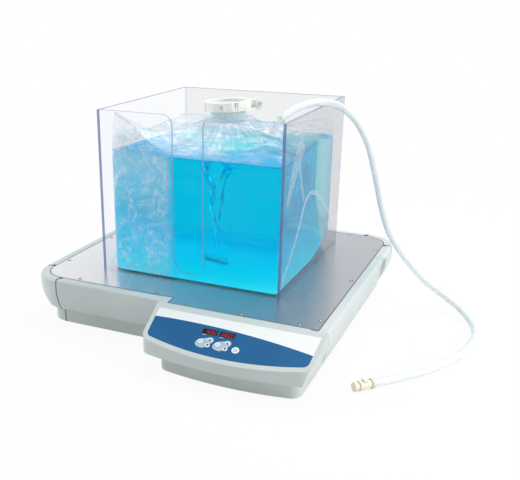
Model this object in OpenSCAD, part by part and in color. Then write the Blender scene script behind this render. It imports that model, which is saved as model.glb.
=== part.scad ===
// Magnetic stirrer for large volumes, with a clear square tank and a filled mixing bag.
// +Z is up, +X is to the right and the control panel faces -Y.
// The origin lies on the table, under the middle of the stirrer's footprint.

/* [Base] */
// Width of the steel top plate
plate_w = 462; // [440:1:520]
// Depth of the steel top plate, without its front tab
plate_d = 409; // [390:1:460]
// Thickness of the steel top plate
plate_t = 2; // [1.5:0.5:3]
// Corner radius of the steel top plate
plate_r = 38; // [32:1:50]
// Height of the top plate's face above the table
base_h = 80; // [78:1:95]
// How far the rails bulge out past the plate
rail_out = 16; // [14:0.5:20]
// Wall thickness of the rails and casings
casing_t = 3.5; // [2.5:0.5:4]
// Radius of the rails' upper edge
rail_top_r = 4; // [3:0.5:6]
// Depth of the rails' widest line below the plate's face
rail_wide = 12; // [9:0.5:14]
// Radius of the rails' curved flank
flank_r = 78; // [70:1:120]
// Height of the bulge, from the plate's face down
bulge_h = 52; // [46:1:54]
// Height of the sloped underside of the bulge
undercut_h = 5; // [3:0.5:7]
// How far the skirt stands back from the plate's edge
skirt_in = 5.5; // [3:0.5:9]
// Width of the ledge that the plate rests on
ledge_w = 10; // [8:0.5:12]
// Gap round the top plate
plate_gap = 0.8; // [0.4:0.1:1.2]
// Gap between the skirt and the table
skirt_lift = 2; // [1:0.5:3]
// Thickness of the bottom pan
pan_t = 2; // [1.5:0.5:3]
// Width of the rails' inner flange on the pan
flange_w = 14; // [12:0.5:16]
// Length of the grip recess in each side rail
grip_len = 103; // [80:1:120]
// Depth of the grip recess at its back end
grip_deep = 7; // [4:0.5:8]

/* [Feet and screws] */
// Diameter of a rubber foot
foot_d = 26; // [20:1:34]
// Height of a rubber foot under the pan
foot_h = 4; // [3.5:0.5:6]
// Diameter of the plate screws' heads
plate_screw_head_d = 6; // [5:0.5:7]
// Distance of the plate screws from the plate's edge
plate_screw_in = 6; // [5:0.5:7]
// Diameter of every screw's thread
screw_d = 3; // [2.5:0.5:3.5]

/* [Control unit] */
// Width of the control unit at its back
control_w = 255; // [240:1:270]
// Reach of the control unit in front of the plate's front edge
control_reach = 100; // [90:1:120]
// How far the control unit stands out past the plate's right edge
control_over = 15.5; // [10:0.5:16]
// Slope of the control panel in degrees
panel_tilt = 25; // [20:1:28]
// Radius of the control unit's bowed front
bow_r = 500; // [400:5:650]
// Corner radius of the control unit's front
bow_corner_r = 16; // [12:1:20]
// Side draft of the control unit in degrees
side_draft = 4; // [0:0.5:6]
// Height over which the control unit's right side draws in towards its foot
side_taper_h = 30; // [24:1:36]
// Depth by which the control unit's right side draws in at its foot
side_taper_w = 10; // [8:0.5:11]
// Width of the top plate's front tab
tab_w = 225; // [200:1:230]
// Depth of the top plate's front tab
tab_d = 20; // [16:1:26]
// Flat strip between the tab and the sloped panel
panel_land = 3; // [2.5:0.5:5]
// How far the control skirt stands back at the front
control_skirt_in = 15; // [10:1:20]
// How far the control skirt stands back at its left end
control_skirt_left = 26; // [18:1:34]

/* [Panel] */
// Thickness of the printed membrane
label_t = 1; // [0.8:0.1:1.5]
// Border of casing round the membrane
label_in = 7; // [5:0.5:9]
// Border of casing behind the membrane
label_back = 9; // [7:0.5:12]
// Width of a display window
display_w = 22; // [19:0.5:23]
// Height of a display window
display_h = 9; // [7:0.1:9]
// Distance between the two displays, and between the two key groups
group_pitch = 25.8; // [25:0.1:28]
// Diameter of a set key
set_key_d = 8; // [7:0.1:8.4]
// Diameter of an arrow key
arrow_key_d = 7; // [6:0.1:7.4]
// Diameter of the on/off key
power_key_d = 10.5; // [9:0.1:12]
// Travel of a key
key_travel = 0.6; // [0.4:0.1:0.8]
// How far a key stands above the membrane
key_proud = 0.9; // [0.8:0.1:1.2]

/* [Drive] */
// Diameter of the motor
motor_d = 64; // [58:1:70]
// Diameter of the motor shaft
shaft_d = 8; // [6:0.5:10]
// Diameter of the magnet carrier
carrier_d = 92; // [76:1:110]
// Thickness of the magnet carrier
carrier_t = 9; // [8:0.5:10]
// Diameter of a drive magnet
magnet_d = 20; // [16:1:24]
// Distance of the drive magnets from the axis
magnet_reach = 24; // [20:1:28]
// Running gap between the magnet carrier and the top plate
magnet_gap = 3; // [2:0.5:4]

/* [Tank] */
// Outer width of the tank
tank_w = 300; // [280:1:330]
// Outer depth of the tank
tank_d = 300; // [280:1:330]
// Height of the tank
tank_h = 256; // [245:1:280]
// Thickness of the tank's clear sheet
tank_t = 5; // [4:0.5:8]
// Thickness of the tank's floor sheet
tank_floor_t = 2.5; // [2:0.5:6]
// How far the tank stands behind the plate's middle
tank_setback = 2.5; // [0:0.5:8]
// Width of the slot in the front panel
slot_w = 48.8; // [40:0.4:60]
// Height of the slot's round end above the tank's underside
slot_foot = 15.6; // [10:0.2:40]
// Radius of the slot's upper corners
slot_corner_r = 16.5; // [10:0.5:24]

/* [Mixing bag] */
// Gap between the bag and the tank's walls
bag_gap = 2; // [1:0.5:4]
// Corner radius of the filled bag
bag_r = 28; // [20:1:40]
// Corner radius of the filled bag at its front right
bag_tight_r = 8; // [7:0.5:28]
// Thickness of the bag's film
film_t = 0.4; // [0.3:0.1:0.6]
// Height of the liquid's surface below the tank's rim
fill_drop = 64; // [56:1:100]
// Height of the film's lowest part above the liquid
film_rise = 3.5; // [2:0.5:8]
// How far the bag's sides are folded in
fold_in = 13; // [6:1:18]
// Radius of the bag's lower edge in front
foot_front_r = 2.5; // [2:0.5:6]
// Radius of the bag's lower edge at the back
foot_back_r = 24; // [12:1:26]
// Diameter of the vortex at the liquid's surface
vortex_d = 84; // [70:1:100]
// Length of the stirring bar
bar_len = 60; // [50:1:80]
// Diameter of the stirring bar
bar_d = 12; // [10:0.5:16]
// Heading of the stirring bar in degrees
bar_heading = -22; // [-90:1:90]

/* [Bag port] */
// Height of the clamp's middle below the tank's rim
port_drop = 4; // [0:0.5:6]
// Tilt of the port in degrees
port_tilt = 3; // [0:1:12]
// Outer diameter of the port's spout
spout_d = 58; // [50:1:60]
// Wall of the port's spout
spout_t = 3; // [2:0.5:4]
// Length of the spout below the clamp's middle
spout_len = 22; // [18:1:26]
// Diameter of the ferrules inside the clamp
ferrule_d = 64; // [62:1:66]
// Thickness of a ferrule
ferrule_t = 4; // [3:0.5:4.5]
// Thickness of the port's gasket
gasket_t = 2; // [1:0.5:2.5]
// Outer diameter of the clamp's ring
clamp_d = 74; // [72:1:84]
// Height of the clamp's ring
clamp_h = 14; // [13.5:0.5:18]
// Heading of the clamp's bolt in degrees
clamp_turn = 40; // [0:5:60]
// Length of the wing nut, tip to tip
wing_len = 21; // [18:1:26]

/* [Hose] */
// Outer diameter of the hose
hose_d = 11.1; // [9.6:0.1:11.1]
// Width of a hose tie
tie_w = 5; // [3:0.5:6]
// Diameter of the hose coupling
coupling_d = 14; // [13:0.5:14.5]

/* [Hidden] */
$fn = 64;
cut = 1;
fit = 0.3;
slip = 0.03;
far = 1000;
screw_fit = 0.1;

casing_colour = [0.78, 0.80, 0.79];
steel_colour = [0.72, 0.73, 0.75];
clear_colour = [0.90, 0.93, 0.97, 0.35];
ivory_colour = [0.93, 0.93, 0.89];
tie_colour = [0.82, 0.91, 0.80];
black_colour = [0.08, 0.08, 0.09];
board_colour = [0.10, 0.35, 0.20];

// Plan of the base
plate_x = plate_w / 2;
depth_all = control_reach + plate_d + rail_out;
plate_front = control_reach - depth_all / 2;
plate_back = plate_front + plate_d;
plate_mid = (plate_front + plate_back) / 2;
tab_left = plate_x - tab_w;
tab_front = plate_front - tab_d;
panel_line = tab_front - panel_land;
control_right = plate_x + control_over;
control_left = control_right - control_w;
control_mid = (control_left + control_right) / 2;
control_front = plate_front - control_reach;
skirt_right = plate_x - skirt_in;
skirt_left = control_left + control_skirt_left;
skirt_mid = (skirt_left + skirt_right) / 2;
skirt_line = plate_front + skirt_in + casing_t;
tank_mid = plate_mid + tank_setback;

// Levels of the base
plate_under = base_h - plate_t;
ledge_under = plate_under - casing_t;
bulge_foot = base_h - bulge_h;
pan_top = foot_h + pan_t;
flange_top = pan_top + casing_t;
screw_head_h = 2;

// Motor, from the top plate down
carrier_top = plate_under - magnet_gap;
carrier_foot = carrier_top - carrier_t;
bracket_t = 3;
bracket_gap = 3;
bracket_top = carrier_foot - bracket_gap;
bracket_under = bracket_top - bracket_t;
bell_t = 6;
bell_foot = bracket_under - bell_t;
can_lift = 8;
can_foot = pan_top + can_lift;
can_floor = 6;
can_t = 3;
bearing_h = 5;
bearing_wall = 4;
bearing_r = shaft_d / 2 + bearing_wall;
collar_h = 2;
collar_rise = 1.5;
bracket_wall = motor_d / 2 + bracket_gap;
bracket_foot_w = 14;
bracket_len = 76;
rotor_gap = 0.6;
stator_t = 9;
stator_r = motor_d / 2 - can_t - slip;
rotor_r = stator_r - stator_t - rotor_gap;
collar_foot = can_foot + can_floor + collar_rise + slip;
rotor_foot = collar_foot + collar_h;
rotor_h = bell_foot - rotor_foot - bearing_h;
shaft_clear = 1;
shaft_foot = can_foot + shaft_clear;
shaft_top = carrier_top - shaft_clear;
lower_bearing = can_foot + can_floor + collar_rise - bearing_h;
pocket_floor = 2;

// Tank and bag levels
tank_x = tank_w / 2;
tank_y = tank_d / 2;
tank_top = base_h + tank_h;
floor_top = base_h + tank_floor_t;
bag_w = tank_w - 2 * tank_t - 2 * bag_gap;
bag_depth = tank_d - 2 * tank_t - 2 * bag_gap;
bag_foot = floor_top + fit;
liquid_foot = bag_foot + film_t + fit;
liquid_top = tank_top - fill_drop;
bar_z = liquid_foot + fit + bar_d / 2;
stir_room_h = bar_d + 4 * fit;

// Bag port, in the port's own frame
port_z = tank_top - port_drop;
weld_w = 11;
weld_r = spout_d / 2 + weld_w;
weld_t = 3;
lip_in = 1;
clamp_bore_r = spout_d / 2 + lip_in;
clamp_r = clamp_d / 2;
stack_h = gasket_t + 2 * ferrule_t;
lug_t = 6;
lug_gap = 4;
lug_edge = 3;
hinge_r = 4;
hinge_pin_d = 4;
hinge_sink = 6;
hinge_x = hinge_sink - clamp_r - hinge_r;
ear_sink = 4;
ear_in = 1;
bolt_d = 6;
bolt_x = clamp_r + wing_len / 2 + 2 * fit;
lug_end = bolt_x + bolt_d / 2 + lug_edge;

// Hose route: the first points go with the tank's rim, the others with the table
hose_r = hose_d / 2;
rim = [tank_x, tank_mid, tank_top];
hose_rise = [
    [-46, -48, -14], [-41, -38, -8], [-36, -28, -3], [-30, -15, 1.5], [-19, 4.5, 5], [-3.5, 22, 6.5],
    [14, 35.5, 2.5], [32, 44.5, -8.5]
];
hose_fall = [
    [199.5, 95.5, 307.5], [215.5, 102, 276.5], [228.5, 107.5, 232], [244, 112, 172], [257.5, 121, 131],
    [279.5, 133.5, 93.5], [315, 146.5, 51], [350, 147, 27.5], [381, 130.5, 13.5], [403.5, 97.5, 6.5],
    [412.5, 53.5, 6], [407.5, 4.5, 6], [391.5, -42.5, 6], [367.5, -87, 6], [339.5, -122, 6],
    [319.5, -145.5, 6.5], [310, -156, 7.3], [302, -164.5, 7.3]
];
hose_route = concat([for (p = hose_rise) rim + p], hose_fall);
hose_start = hose_route[0];
hose_end = hose_route[len(hose_route) - 1];
hose_out = unit(hose_route[1] - hose_route[0]);
hose_steps = 3;
hose_sides = 12;
tie_t = 1.4;
barb_len = 9;
coupling_way = unit(hose_end - hose_route[len(hose_route) - 2]);

function unit(v) = v / norm(v);

// Points on an arc, with the angles in degrees
function arc(c, r, a0, a1, n) = [for (i = [0 : n])
    let (turn = a0 + (a1 - a0) * i / n)
    c + r * [cos(turn), sin(turn)]];

// Half of a bowed front: a straight side with draft, a round corner and half of the bow
function bow_half(half_w, back, front, bow, corner, draft) =
    let (
        way = [-sin(draft), -cos(draft)],
        out = [cos(draft), -sin(draft)],
        centre = [0, front + bow],
        start = [half_w, back],
        q = start - corner * out - centre,
        run = sqrt(pow(q * way, 2) - q * q + pow(bow - corner, 2)) - q * way,
        c = start - corner * out + run * way,
        turn = c - centre,
        lean = atan2(turn[1], turn[0])
    )
    concat([start], arc(c, corner, -draft, lean, 6), arc(centre, bow, lean, -90, 8));

// Outline with a bowed front, set in by t on every side but the back
module bow_shape(left, right, back, front, draft, t) {
    mid = (left + right) / 2;
    half = bow_half((right - left) / 2 - t, back, front + t, bow_r - t, bow_corner_r - t, draft);
    translate([mid, 0])
        polygon(concat(half, [for (i = [len(half) - 2 : -1 : 0]) [-half[i][0], half[i][1]]]));
}

// Rectangle with round corners
module round_rect(w, d, r) {
    square([w - 2 * r, d], center = true);
    square([w, d - 2 * r], center = true);
    for (sx = [-1, 1], sy = [-1, 1])
        translate([sx * (w / 2 - r), sy * (d / 2 - r)])
            circle(r);
}

// Turns +Z of a child to point from p to q, with its origin at p
module along(p, q) {
    d = q - p;
    translate(p)
        rotate([0, acos(d[2] / norm(d)), atan2(d[1], d[0])])
            children();
}

module ring(r_out, r_in, h) {
    difference() {
        cylinder(r = r_out, h = h);
        translate([0, 0, -cut])
            cylinder(r = r_in, h = h + 2 * cut);
    }
}

// Frame of the sloped panel: x along it, y up the slope, z out of it
module panel_frame() {
    translate([control_mid, panel_line, base_h])
        rotate([panel_tilt, 0, 0])
            children();
}

module tank_frame() {
    translate([0, tank_mid, 0])
        children();
}

// Frame of the bag's port, with its origin in the middle of the clamp
module port_frame() {
    translate([0, tank_mid, port_z])
        rotate([0, -port_tilt, 0])
            children();
}

// Places of the plate screws, from the left front corner round the plate
corner_screw = 31;
unit_screw = 18;
tab_screw = 28;
side_screw_front = 12;
side_screw_end = 70;
right_run = plate_d - side_screw_front - side_screw_end;
left_run = plate_d - 2 * side_screw_end;
front_screws = [-plate_x + plate_r + corner_screw, control_left - unit_screw];
plate_screw_places = concat(
    [for (x = front_screws) [x, plate_front + plate_screw_in]],
    [for (i = [0 : 2]) [tab_left + tab_screw + i * (tab_w - 2 * tab_screw) / 2, tab_front + plate_screw_in]],
    [for (i = [0 : 2]) [plate_x - plate_screw_in, plate_front + side_screw_front + i * right_run / 2]],
    [for (i = [-1 : 1]) [i * (plate_x - plate_r - corner_screw), plate_back - plate_screw_in]],
    [for (i = [0 : 2]) [-plate_x + plate_screw_in, plate_front + side_screw_end + i * left_run / 2]]
);

// Middle of the rails' flanges on the pan
flange_in = skirt_in + casing_t + flange_w / 2;
front_run = control_left + plate_x - plate_r;
flange_screw_places = concat(
    [for (i = [1, 3]) [control_left - i * front_run / 4, plate_front + flange_in]],
    [for (i = [-1 : 1]) [i * plate_w / 4, plate_back - flange_in]],
    [for (i = [-1 : 1], s = [-1, 1]) [s * (plate_x - flange_in), plate_mid + i * plate_d / 4]]
);
boss_r = 5;
boss_in = casing_t + boss_r - cut;
boss_back = 54;
boss_places = [
    [skirt_left + boss_in, control_front + boss_back],
    [skirt_mid, control_front + control_skirt_in + boss_in],
    [skirt_right - boss_in, control_front + boss_back]
];
pan_screw_places = concat(flange_screw_places, boss_places);
foot_in = 62;
unit_foot_back = 52;
foot_places = concat(
    [for (sx = [-1, 1], y = [plate_front + foot_in, plate_back - foot_in]) [sx * (plate_x - foot_in), y]],
    [for (sx = [-1, 1]) [skirt_mid + sx * foot_in, control_front + unit_foot_back]]
);
foot_stem_r = 3;
foot_stem_h = pan_t + 2;

// A rail's flank, set in by t, from an angle down to its foot
// x runs outwards from the plate's edge, y up from the table
flank_mid = [rail_out - flank_r, base_h - rail_wide];
function flank_line(t, top_turn) = concat(
    arc(flank_mid, flank_r - t, top_turn, -asin((bulge_h - rail_wide - t) / (flank_r - t)), 10),
    [[-skirt_in - t, bulge_foot - undercut_h + t]]
);

// Line down a rail's outside: a round upper edge that runs into the flank
edge_turn = asin((rail_wide - rail_top_r) / (flank_r - rail_top_r));
edge_mid = flank_mid + (flank_r - rail_top_r) * [cos(edge_turn), sin(edge_turn)];
rail_edge = arc(edge_mid, rail_top_r, 90, edge_turn, 6);
rail_outside = concat([for (i = [0 : len(rail_edge) - 2]) rail_edge[i]], flank_line(0, edge_turn));

// Section of a rail: the plate's ledge at its top, and its flange on the pan below
module rail_section() {
    wall_in = -skirt_in - casing_t;
    inside = flank_line(casing_t, asin((ledge_under - flank_mid[1]) / (flank_r - casing_t)));
    polygon(concat(
        [[-ledge_w, plate_under], [plate_gap, plate_under], [plate_gap, base_h]],
        rail_outside,
        [[-skirt_in, skirt_lift], [wall_in, skirt_lift], [wall_in, pan_top], [wall_in - flange_w, pan_top]],
        [[wall_in - flange_w, flange_top], [wall_in, flange_top]],
        [for (i = [len(inside) - 1 : -1 : 0]) inside[i]],
        [[-ledge_w, ledge_under]]
    ));
}

// A straight rail along +X from the origin, with its outside towards +Y
module rail(length) {
    rotate([90, 0, 90])
        linear_extrude(length)
            rail_section();
}

// Grip recess of the right rail, grown by t: it deepens towards the back and ends in a step
grip_end = 43.5;
grip_drop = 7;
grip_foot = bulge_foot - undercut_h;

module grip_room(t) {
    lean = atan(grip_deep / grip_len);
    translate([plate_x + rail_out, plate_back - plate_r - grip_end - grip_len, grip_foot])
        rotate(lean)
            translate([-t, 0, 0])
                cube([far, grip_len / cos(lean) + t, base_h - grip_drop + t - grip_foot]);
}

// Wall behind the right rail's grip recess
module grip_wall() {
    intersection() {
        grip_room(casing_t);
        translate([plate_x, plate_back - plate_r, 0])
            rotate([90, 0, 0])
                linear_extrude(plate_d - 2 * plate_r)
                    polygon(concat([[plate_gap, base_h]], rail_outside));
    }
}

module rail_corner() {
    rotate_extrude(angle = 90)
        translate([plate_r, 0])
            rail_section();
}

// Threaded holes for the plate screws and the pan screws in what they hold
module casing_holes() {
    for (p = plate_screw_places)
        translate([p[0], p[1], ledge_under - cut])
            cylinder(d = screw_d + screw_fit, h = casing_t + 2 * cut);
    for (p = flange_screw_places)
        translate([p[0], p[1], pan_top - cut])
            cylinder(d = screw_d + screw_fit, h = casing_t + 2 * cut);
}

module front_rail() {
    color(casing_colour)
    difference() {
        translate([control_left, plate_front, 0])
            rotate(180)
                rail(front_run);
        casing_holes();
    }
}

module left_rail() {
    color(casing_colour)
    difference() {
        union() {
            translate([-plate_x, plate_front + plate_r, 0])
                rotate(90)
                    rail(plate_d - 2 * plate_r);
            mirror([1, 0, 0])
                grip_wall();
        }
        mirror([1, 0, 0])
            grip_room(0);
        casing_holes();
    }
}

module back_rail() {
    color(casing_colour)
    difference() {
        translate([-plate_x + plate_r, plate_back, 0])
            rail(plate_w - 2 * plate_r);
        casing_holes();
        inlet_frame()
            translate([0, 0, -casing_t - fit])
                cylinder(r = inlet_r + screw_fit, h = casing_t + 2 * fit);
    }
}

module right_rail() {
    color(casing_colour)
    difference() {
        union() {
            translate([plate_x, plate_back - plate_r, 0])
                rotate(-90)
                    rail(plate_back - plate_r - panel_line);
            grip_wall();
        }
        grip_room(0);
        casing_holes();
    }
}

module corner_front_left() {
    color(casing_colour)
    translate([-plate_x + plate_r, plate_front + plate_r, 0])
        rotate(180)
            rail_corner();
}

module corner_back_left() {
    color(casing_colour)
    translate([-plate_x + plate_r, plate_back - plate_r, 0])
        rotate(90)
            rail_corner();
}

module corner_back_right() {
    color(casing_colour)
    translate([plate_x - plate_r, plate_back - plate_r, 0])
        rail_corner();
}

// Plan of the control unit's skirt, set in by t
module control_skirt_plan(t) {
    bow_shape(skirt_left, skirt_right, skirt_line, control_front + control_skirt_in, 0, t);
}

module control_skirt() {
    wing = skirt_left - control_left + casing_t;
    color(casing_colour)
    difference() {
        union() {
            translate([0, 0, skirt_lift])
                linear_extrude(bulge_foot - skirt_lift)
                    difference() {
                        control_skirt_plan(0);
                        control_skirt_plan(casing_t);
                    }
            translate([control_left, plate_front + skirt_in, skirt_lift])
                cube([wing, casing_t, bulge_foot - skirt_lift]);
            for (p = boss_places)
                translate([p[0], p[1], pan_top])
                    cylinder(r = boss_r, h = bulge_foot - pan_top);
        }
        translate([skirt_right - casing_t - flange_w - cut, panel_line, 0])
            cube([far, far, far]);
        for (p = boss_places)
            translate([p[0], p[1], pan_top - cut])
                cylinder(d = screw_d + screw_fit, h = 2 * casing_t);
    }
}

// Room under a slope that draws the control unit's right side in towards its foot, set in by t
module side_room(t) {
    slope = side_taper_w / side_taper_h;
    foot = control_over - side_taper_w - t * sqrt(1 + slope * slope);
    low = bulge_foot - casing_t;
    high = base_h + casing_t;
    translate([plate_x, panel_line, 0])
        rotate([90, 0, -side_draft])
            translate([0, 0, -casing_t])
                linear_extrude(far)
                    polygon([
                        [-far, low], [-far, high],
                        [foot + slope * (high - bulge_foot), high], [foot - slope * casing_t, low]
                    ]);
}

// Everything inside the control unit's outline and under its panel, set in by t
module control_block(t) {
    intersection() {
        side_room(t);
        translate([0, 0, bulge_foot + t])
            linear_extrude(bulge_h)
                bow_shape(control_left, control_right, panel_line - t, control_front, side_draft, t);
        panel_frame()
            translate([-far / 2, -far + cut, -far - t])
                cube([far, far, far]);
    }
}

// Slab under the membrane, from its face down to the given depth and set in by t
module label_slab(depth, rise, t) {
    intersection() {
        linear_extrude(base_h + far)
            bow_shape(control_left, control_right, panel_line - label_back - t, control_front, side_draft,
                label_in + t);
        panel_frame()
            translate([-far / 2, -far / 2, -depth])
                cube([far, far, depth + rise]);
    }
}

// Layout of the panel, in the panel's frame
display_y = -36.1;
display_x = -29.7;
key_y = -55;
arrow_x = -24.4;
arrow_y = 4.6;
set_back = 12.4;
power_place = [16.2, -58.6];
key_clear = 0.25;
key_flange = 0.5;
key_flange_t = 0.8;
board_drop = 8;
board_t = 1.6;
board_w = 84;
board_h = 56;
board_mid = [-10, -48];
window_w = 72;
window_h = 42;
post_r = 3;
switch_h = 2;
switch_d = 6;
socket_size = [20, 7, 6.8];

function set_place(i) = [arrow_x - set_back + i * group_pitch, key_y];
function arrow_place(i, s) = [arrow_x + i * group_pitch, key_y + s * arrow_y];
function display_place(i) = [display_x + i * group_pitch, display_y];

key_list = concat(
    [for (i = [0, 1]) [set_place(i), set_key_d]],
    [for (i = [0, 1], s = [-1, 1]) [arrow_place(i, s), arrow_key_d]],
    [[power_place, power_key_d]]
);

module control_neck() {
    neck_right = plate_x - ledge_w;
    neck_back = plate_front + ledge_w;
    neck_h = base_h - ledge_under;
    translate([control_left, panel_line, ledge_under])
        cube([neck_right - control_left, neck_back - panel_line, casing_t]);
    translate([control_left, panel_line, ledge_under])
        cube([neck_right - control_left, panel_land - plate_gap, neck_h]);
    translate([control_left, panel_line, ledge_under])
        cube([tab_left - plate_gap - control_left, plate_front - plate_gap - panel_line, neck_h]);
    translate([control_left, panel_line, bulge_foot])
        cube([casing_t, skirt_line - panel_line, plate_under - bulge_foot]);
    translate([control_left, panel_line, bulge_foot])
        cube([skirt_left + casing_t - control_left, skirt_line - panel_line, casing_t]);
}

module control_housing() {
    passage_w = skirt_right - casing_t - flange_w - control_left - 2 * casing_t;
    color(casing_colour)
    difference() {
        union() {
            difference() {
                control_block(0);
                control_block(casing_t);
                translate([0, 0, bulge_foot - cut])
                    linear_extrude(casing_t + 2 * cut)
                        control_skirt_plan(casing_t);
                translate([control_left + casing_t, panel_line - 2 * casing_t, bulge_foot + casing_t])
                    cube([passage_w, 3 * casing_t, ledge_under - bulge_foot - casing_t]);
            }
            control_neck();
            panel_frame()
                translate([board_mid[0], board_mid[1], -board_drop])
                    for (sx = [-1, 1], sy = [-1, 1])
                        translate([sx * (board_w / 2 - post_r), sy * (board_h / 2 - post_r), 0])
                            cylinder(r = post_r, h = board_drop - label_t - slip);
        }
        label_slab(label_t, cut, 0);
        panel_frame()
            translate([board_mid[0] - window_w / 2, board_mid[1] - window_h / 2, -casing_t - label_t])
                cube([window_w, window_h, casing_t + 2 * label_t]);
        casing_holes();
    }
}

module membrane_panel() {
    color([0.16, 0.39, 0.60])
    difference() {
        label_slab(label_t, 0, slip);
        panel_frame() {
            for (k = key_list)
                translate([k[0][0], k[0][1], -2 * label_t])
                    cylinder(d = k[1] + 2 * key_clear, h = 3 * label_t);
            for (i = [0, 1])
                translate([display_place(i)[0], display_place(i)[1], 0])
                    cube([display_w + fit, display_h + fit, 4 * label_t], center = true);
        }
    }
}

module display(i) {
    panel_frame()
        translate([display_place(i)[0] - display_w / 2, display_place(i)[1] - display_h / 2, -board_drop])
            cube([display_w, display_h, board_drop - fit]);
}

module display_left() {
    color(black_colour)
    display(0);
}

module display_right() {
    color(black_colour)
    display(1);
}

// Board under the panel, with one switch below each key and a socket for its cable
module control_board() {
    color(board_colour)
    panel_frame() {
        translate([board_mid[0] - board_w / 2, board_mid[1] - board_h / 2, -board_drop - board_t])
            cube([board_w, board_h, board_t]);
        for (k = key_list)
            translate([k[0][0], k[0][1], -board_drop - board_t / 2])
                cylinder(d = switch_d, h = switch_h + board_t / 2);
        translate([board_mid[0] - socket_size[0] / 2, board_mid[1] + socket_size[1],
                -board_drop - board_t / 2 - socket_size[2]])
            cube(socket_size);
    }
}

// A key's cap and flange, with a stem that ends one travel above its switch
module key(place, d) {
    stem_foot = -board_drop + switch_h + key_travel + fit;
    flange_top_z = -label_t - fit;
    color([0.95, 0.96, 0.96])
    panel_frame()
        translate([place[0], place[1], 0]) {
            translate([0, 0, flange_top_z - key_flange_t / 2])
                cylinder(d = d, h = key_proud - flange_top_z + key_flange_t / 2);
            translate([0, 0, flange_top_z - key_flange_t])
                cylinder(d = d + 2 * key_clear + 2 * key_flange, h = key_flange_t);
            translate([0, 0, stem_foot])
                cylinder(d = d / 2, h = flange_top_z - key_flange_t / 2 - stem_foot);
        }
}

module key_left_set() {
    key(set_place(0), set_key_d);
}

module key_left_up() {
    key(arrow_place(0, 1), arrow_key_d);
}

module key_left_down() {
    key(arrow_place(0, -1), arrow_key_d);
}

module key_right_set() {
    key(set_place(1), set_key_d);
}

module key_right_up() {
    key(arrow_place(1, 1), arrow_key_d);
}

module key_right_down() {
    key(arrow_place(1, -1), arrow_key_d);
}

module key_on_off() {
    key(power_place, power_key_d);
}

// Pan that closes the base from below and carries the rails, the motor and the power board
board_post_h = 6;
power_board_size = [110, 76, 1.6];
power_board_at = [-26, 40];
power_board_mid = [power_board_at[0] - plate_x / 2, power_board_at[1] + tank_mid];
power_post_in = 5;
power_post_x = power_board_size[0] / 2 - power_post_in;
power_post_y = power_board_size[1] / 2 - power_post_in;
bracket_screw_places = [for (sx = [-1, 1], sy = [-1, 1])
    [sx * (bracket_wall + bracket_t + bracket_foot_w / 2), tank_mid + sy * bracket_len / 3]];

module base_pan() {
    pan_in = skirt_in + casing_t + fit;
    color([0.62, 0.63, 0.64])
    difference() {
        union() {
            translate([0, 0, foot_h])
                linear_extrude(pan_t) {
                    translate([0, plate_mid])
                        round_rect(plate_w - 2 * pan_in, plate_d - 2 * pan_in, plate_r - pan_in);
                    control_skirt_plan(casing_t + fit);
                    translate([skirt_left + casing_t + fit, panel_line])
                        square([skirt_right - skirt_left - 2 * (casing_t + fit), plate_mid - panel_line]);
                }
            translate([power_board_mid[0], power_board_mid[1], pan_top - pan_t / 2])
                for (sx = [-1, 1], sy = [-1, 1])
                    translate([sx * power_post_x, sy * power_post_y, 0])
                        cylinder(r = post_r, h = board_post_h + pan_t / 2);
        }
        for (p = concat(pan_screw_places, bracket_screw_places))
            translate([p[0], p[1], 0])
                cylinder(d = screw_d + screw_fit, h = pan_top + cut);
        for (p = foot_places)
            translate([p[0], p[1], 0])
                cylinder(r = foot_stem_r + screw_fit, h = pan_top + cut);
    }
}

module rubber_feet() {
    color(black_colour)
    for (p = foot_places)
        translate([p[0], p[1], 0]) {
            cylinder(d = foot_d, h = foot_h);
            translate([0, 0, foot_h - cut])
                cylinder(r = foot_stem_r, h = foot_stem_h + cut);
        }
}

// Screws from below: a flat head under the pan and a thread up into what the pan carries
module screw_up(p, grip) {
    translate([p[0], p[1], foot_h - screw_head_h]) {
        cylinder(d = 2 * screw_d, h = screw_head_h);
        cylinder(d = screw_d, h = screw_head_h + pan_t + grip);
    }
}

module pan_screws() {
    color(steel_colour)
    for (p = pan_screw_places)
        screw_up(p, casing_t);
}

module bracket_screws() {
    color(steel_colour)
    for (p = bracket_screw_places)
        screw_up(p, bracket_t);
}

module top_plate() {
    color(steel_colour)
    difference() {
        translate([0, 0, plate_under])
            linear_extrude(plate_t) {
                translate([0, plate_mid])
                    round_rect(plate_w, plate_d, plate_r);
                translate([tab_left, tab_front])
                    square([tab_w, tab_d + plate_r]);
            }
        for (p = plate_screw_places)
            translate([p[0], p[1], plate_under]) {
                translate([0, 0, -cut])
                    cylinder(d = screw_d + screw_fit, h = plate_t + 2 * cut);
                cylinder(d1 = screw_d + screw_fit, d2 = plate_screw_head_d + screw_fit, h = plate_t);
                translate([0, 0, plate_t - slip])
                    cylinder(d = plate_screw_head_d + screw_fit, h = cut);
            }
    }
}

module plate_screws() {
    socket_d = 2;
    color(steel_colour)
    for (p = plate_screw_places)
        translate([p[0], p[1], 0])
            difference() {
                union() {
                    translate([0, 0, plate_under])
                        cylinder(d1 = screw_d, d2 = plate_screw_head_d, h = plate_t);
                    translate([0, 0, ledge_under])
                        cylinder(d = screw_d, h = casing_t + plate_t / 2);
                }
                translate([0, 0, base_h - plate_t / 2])
                    cylinder(d = socket_d, h = plate_t, $fn = 6);
            }
}

// Supply board with its transformer, capacitors and cooler
transformer_w = 42;
transformer_d = 36;
transformer_h = 32;
transformer_in = 9;
cooler_w = 14;
cooler_d = 52;
cooler_h = 26;
cooler_in = 9;
capacitor_d = 16;
capacitor_h = 26;
capacitor_pitch = 22;

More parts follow.
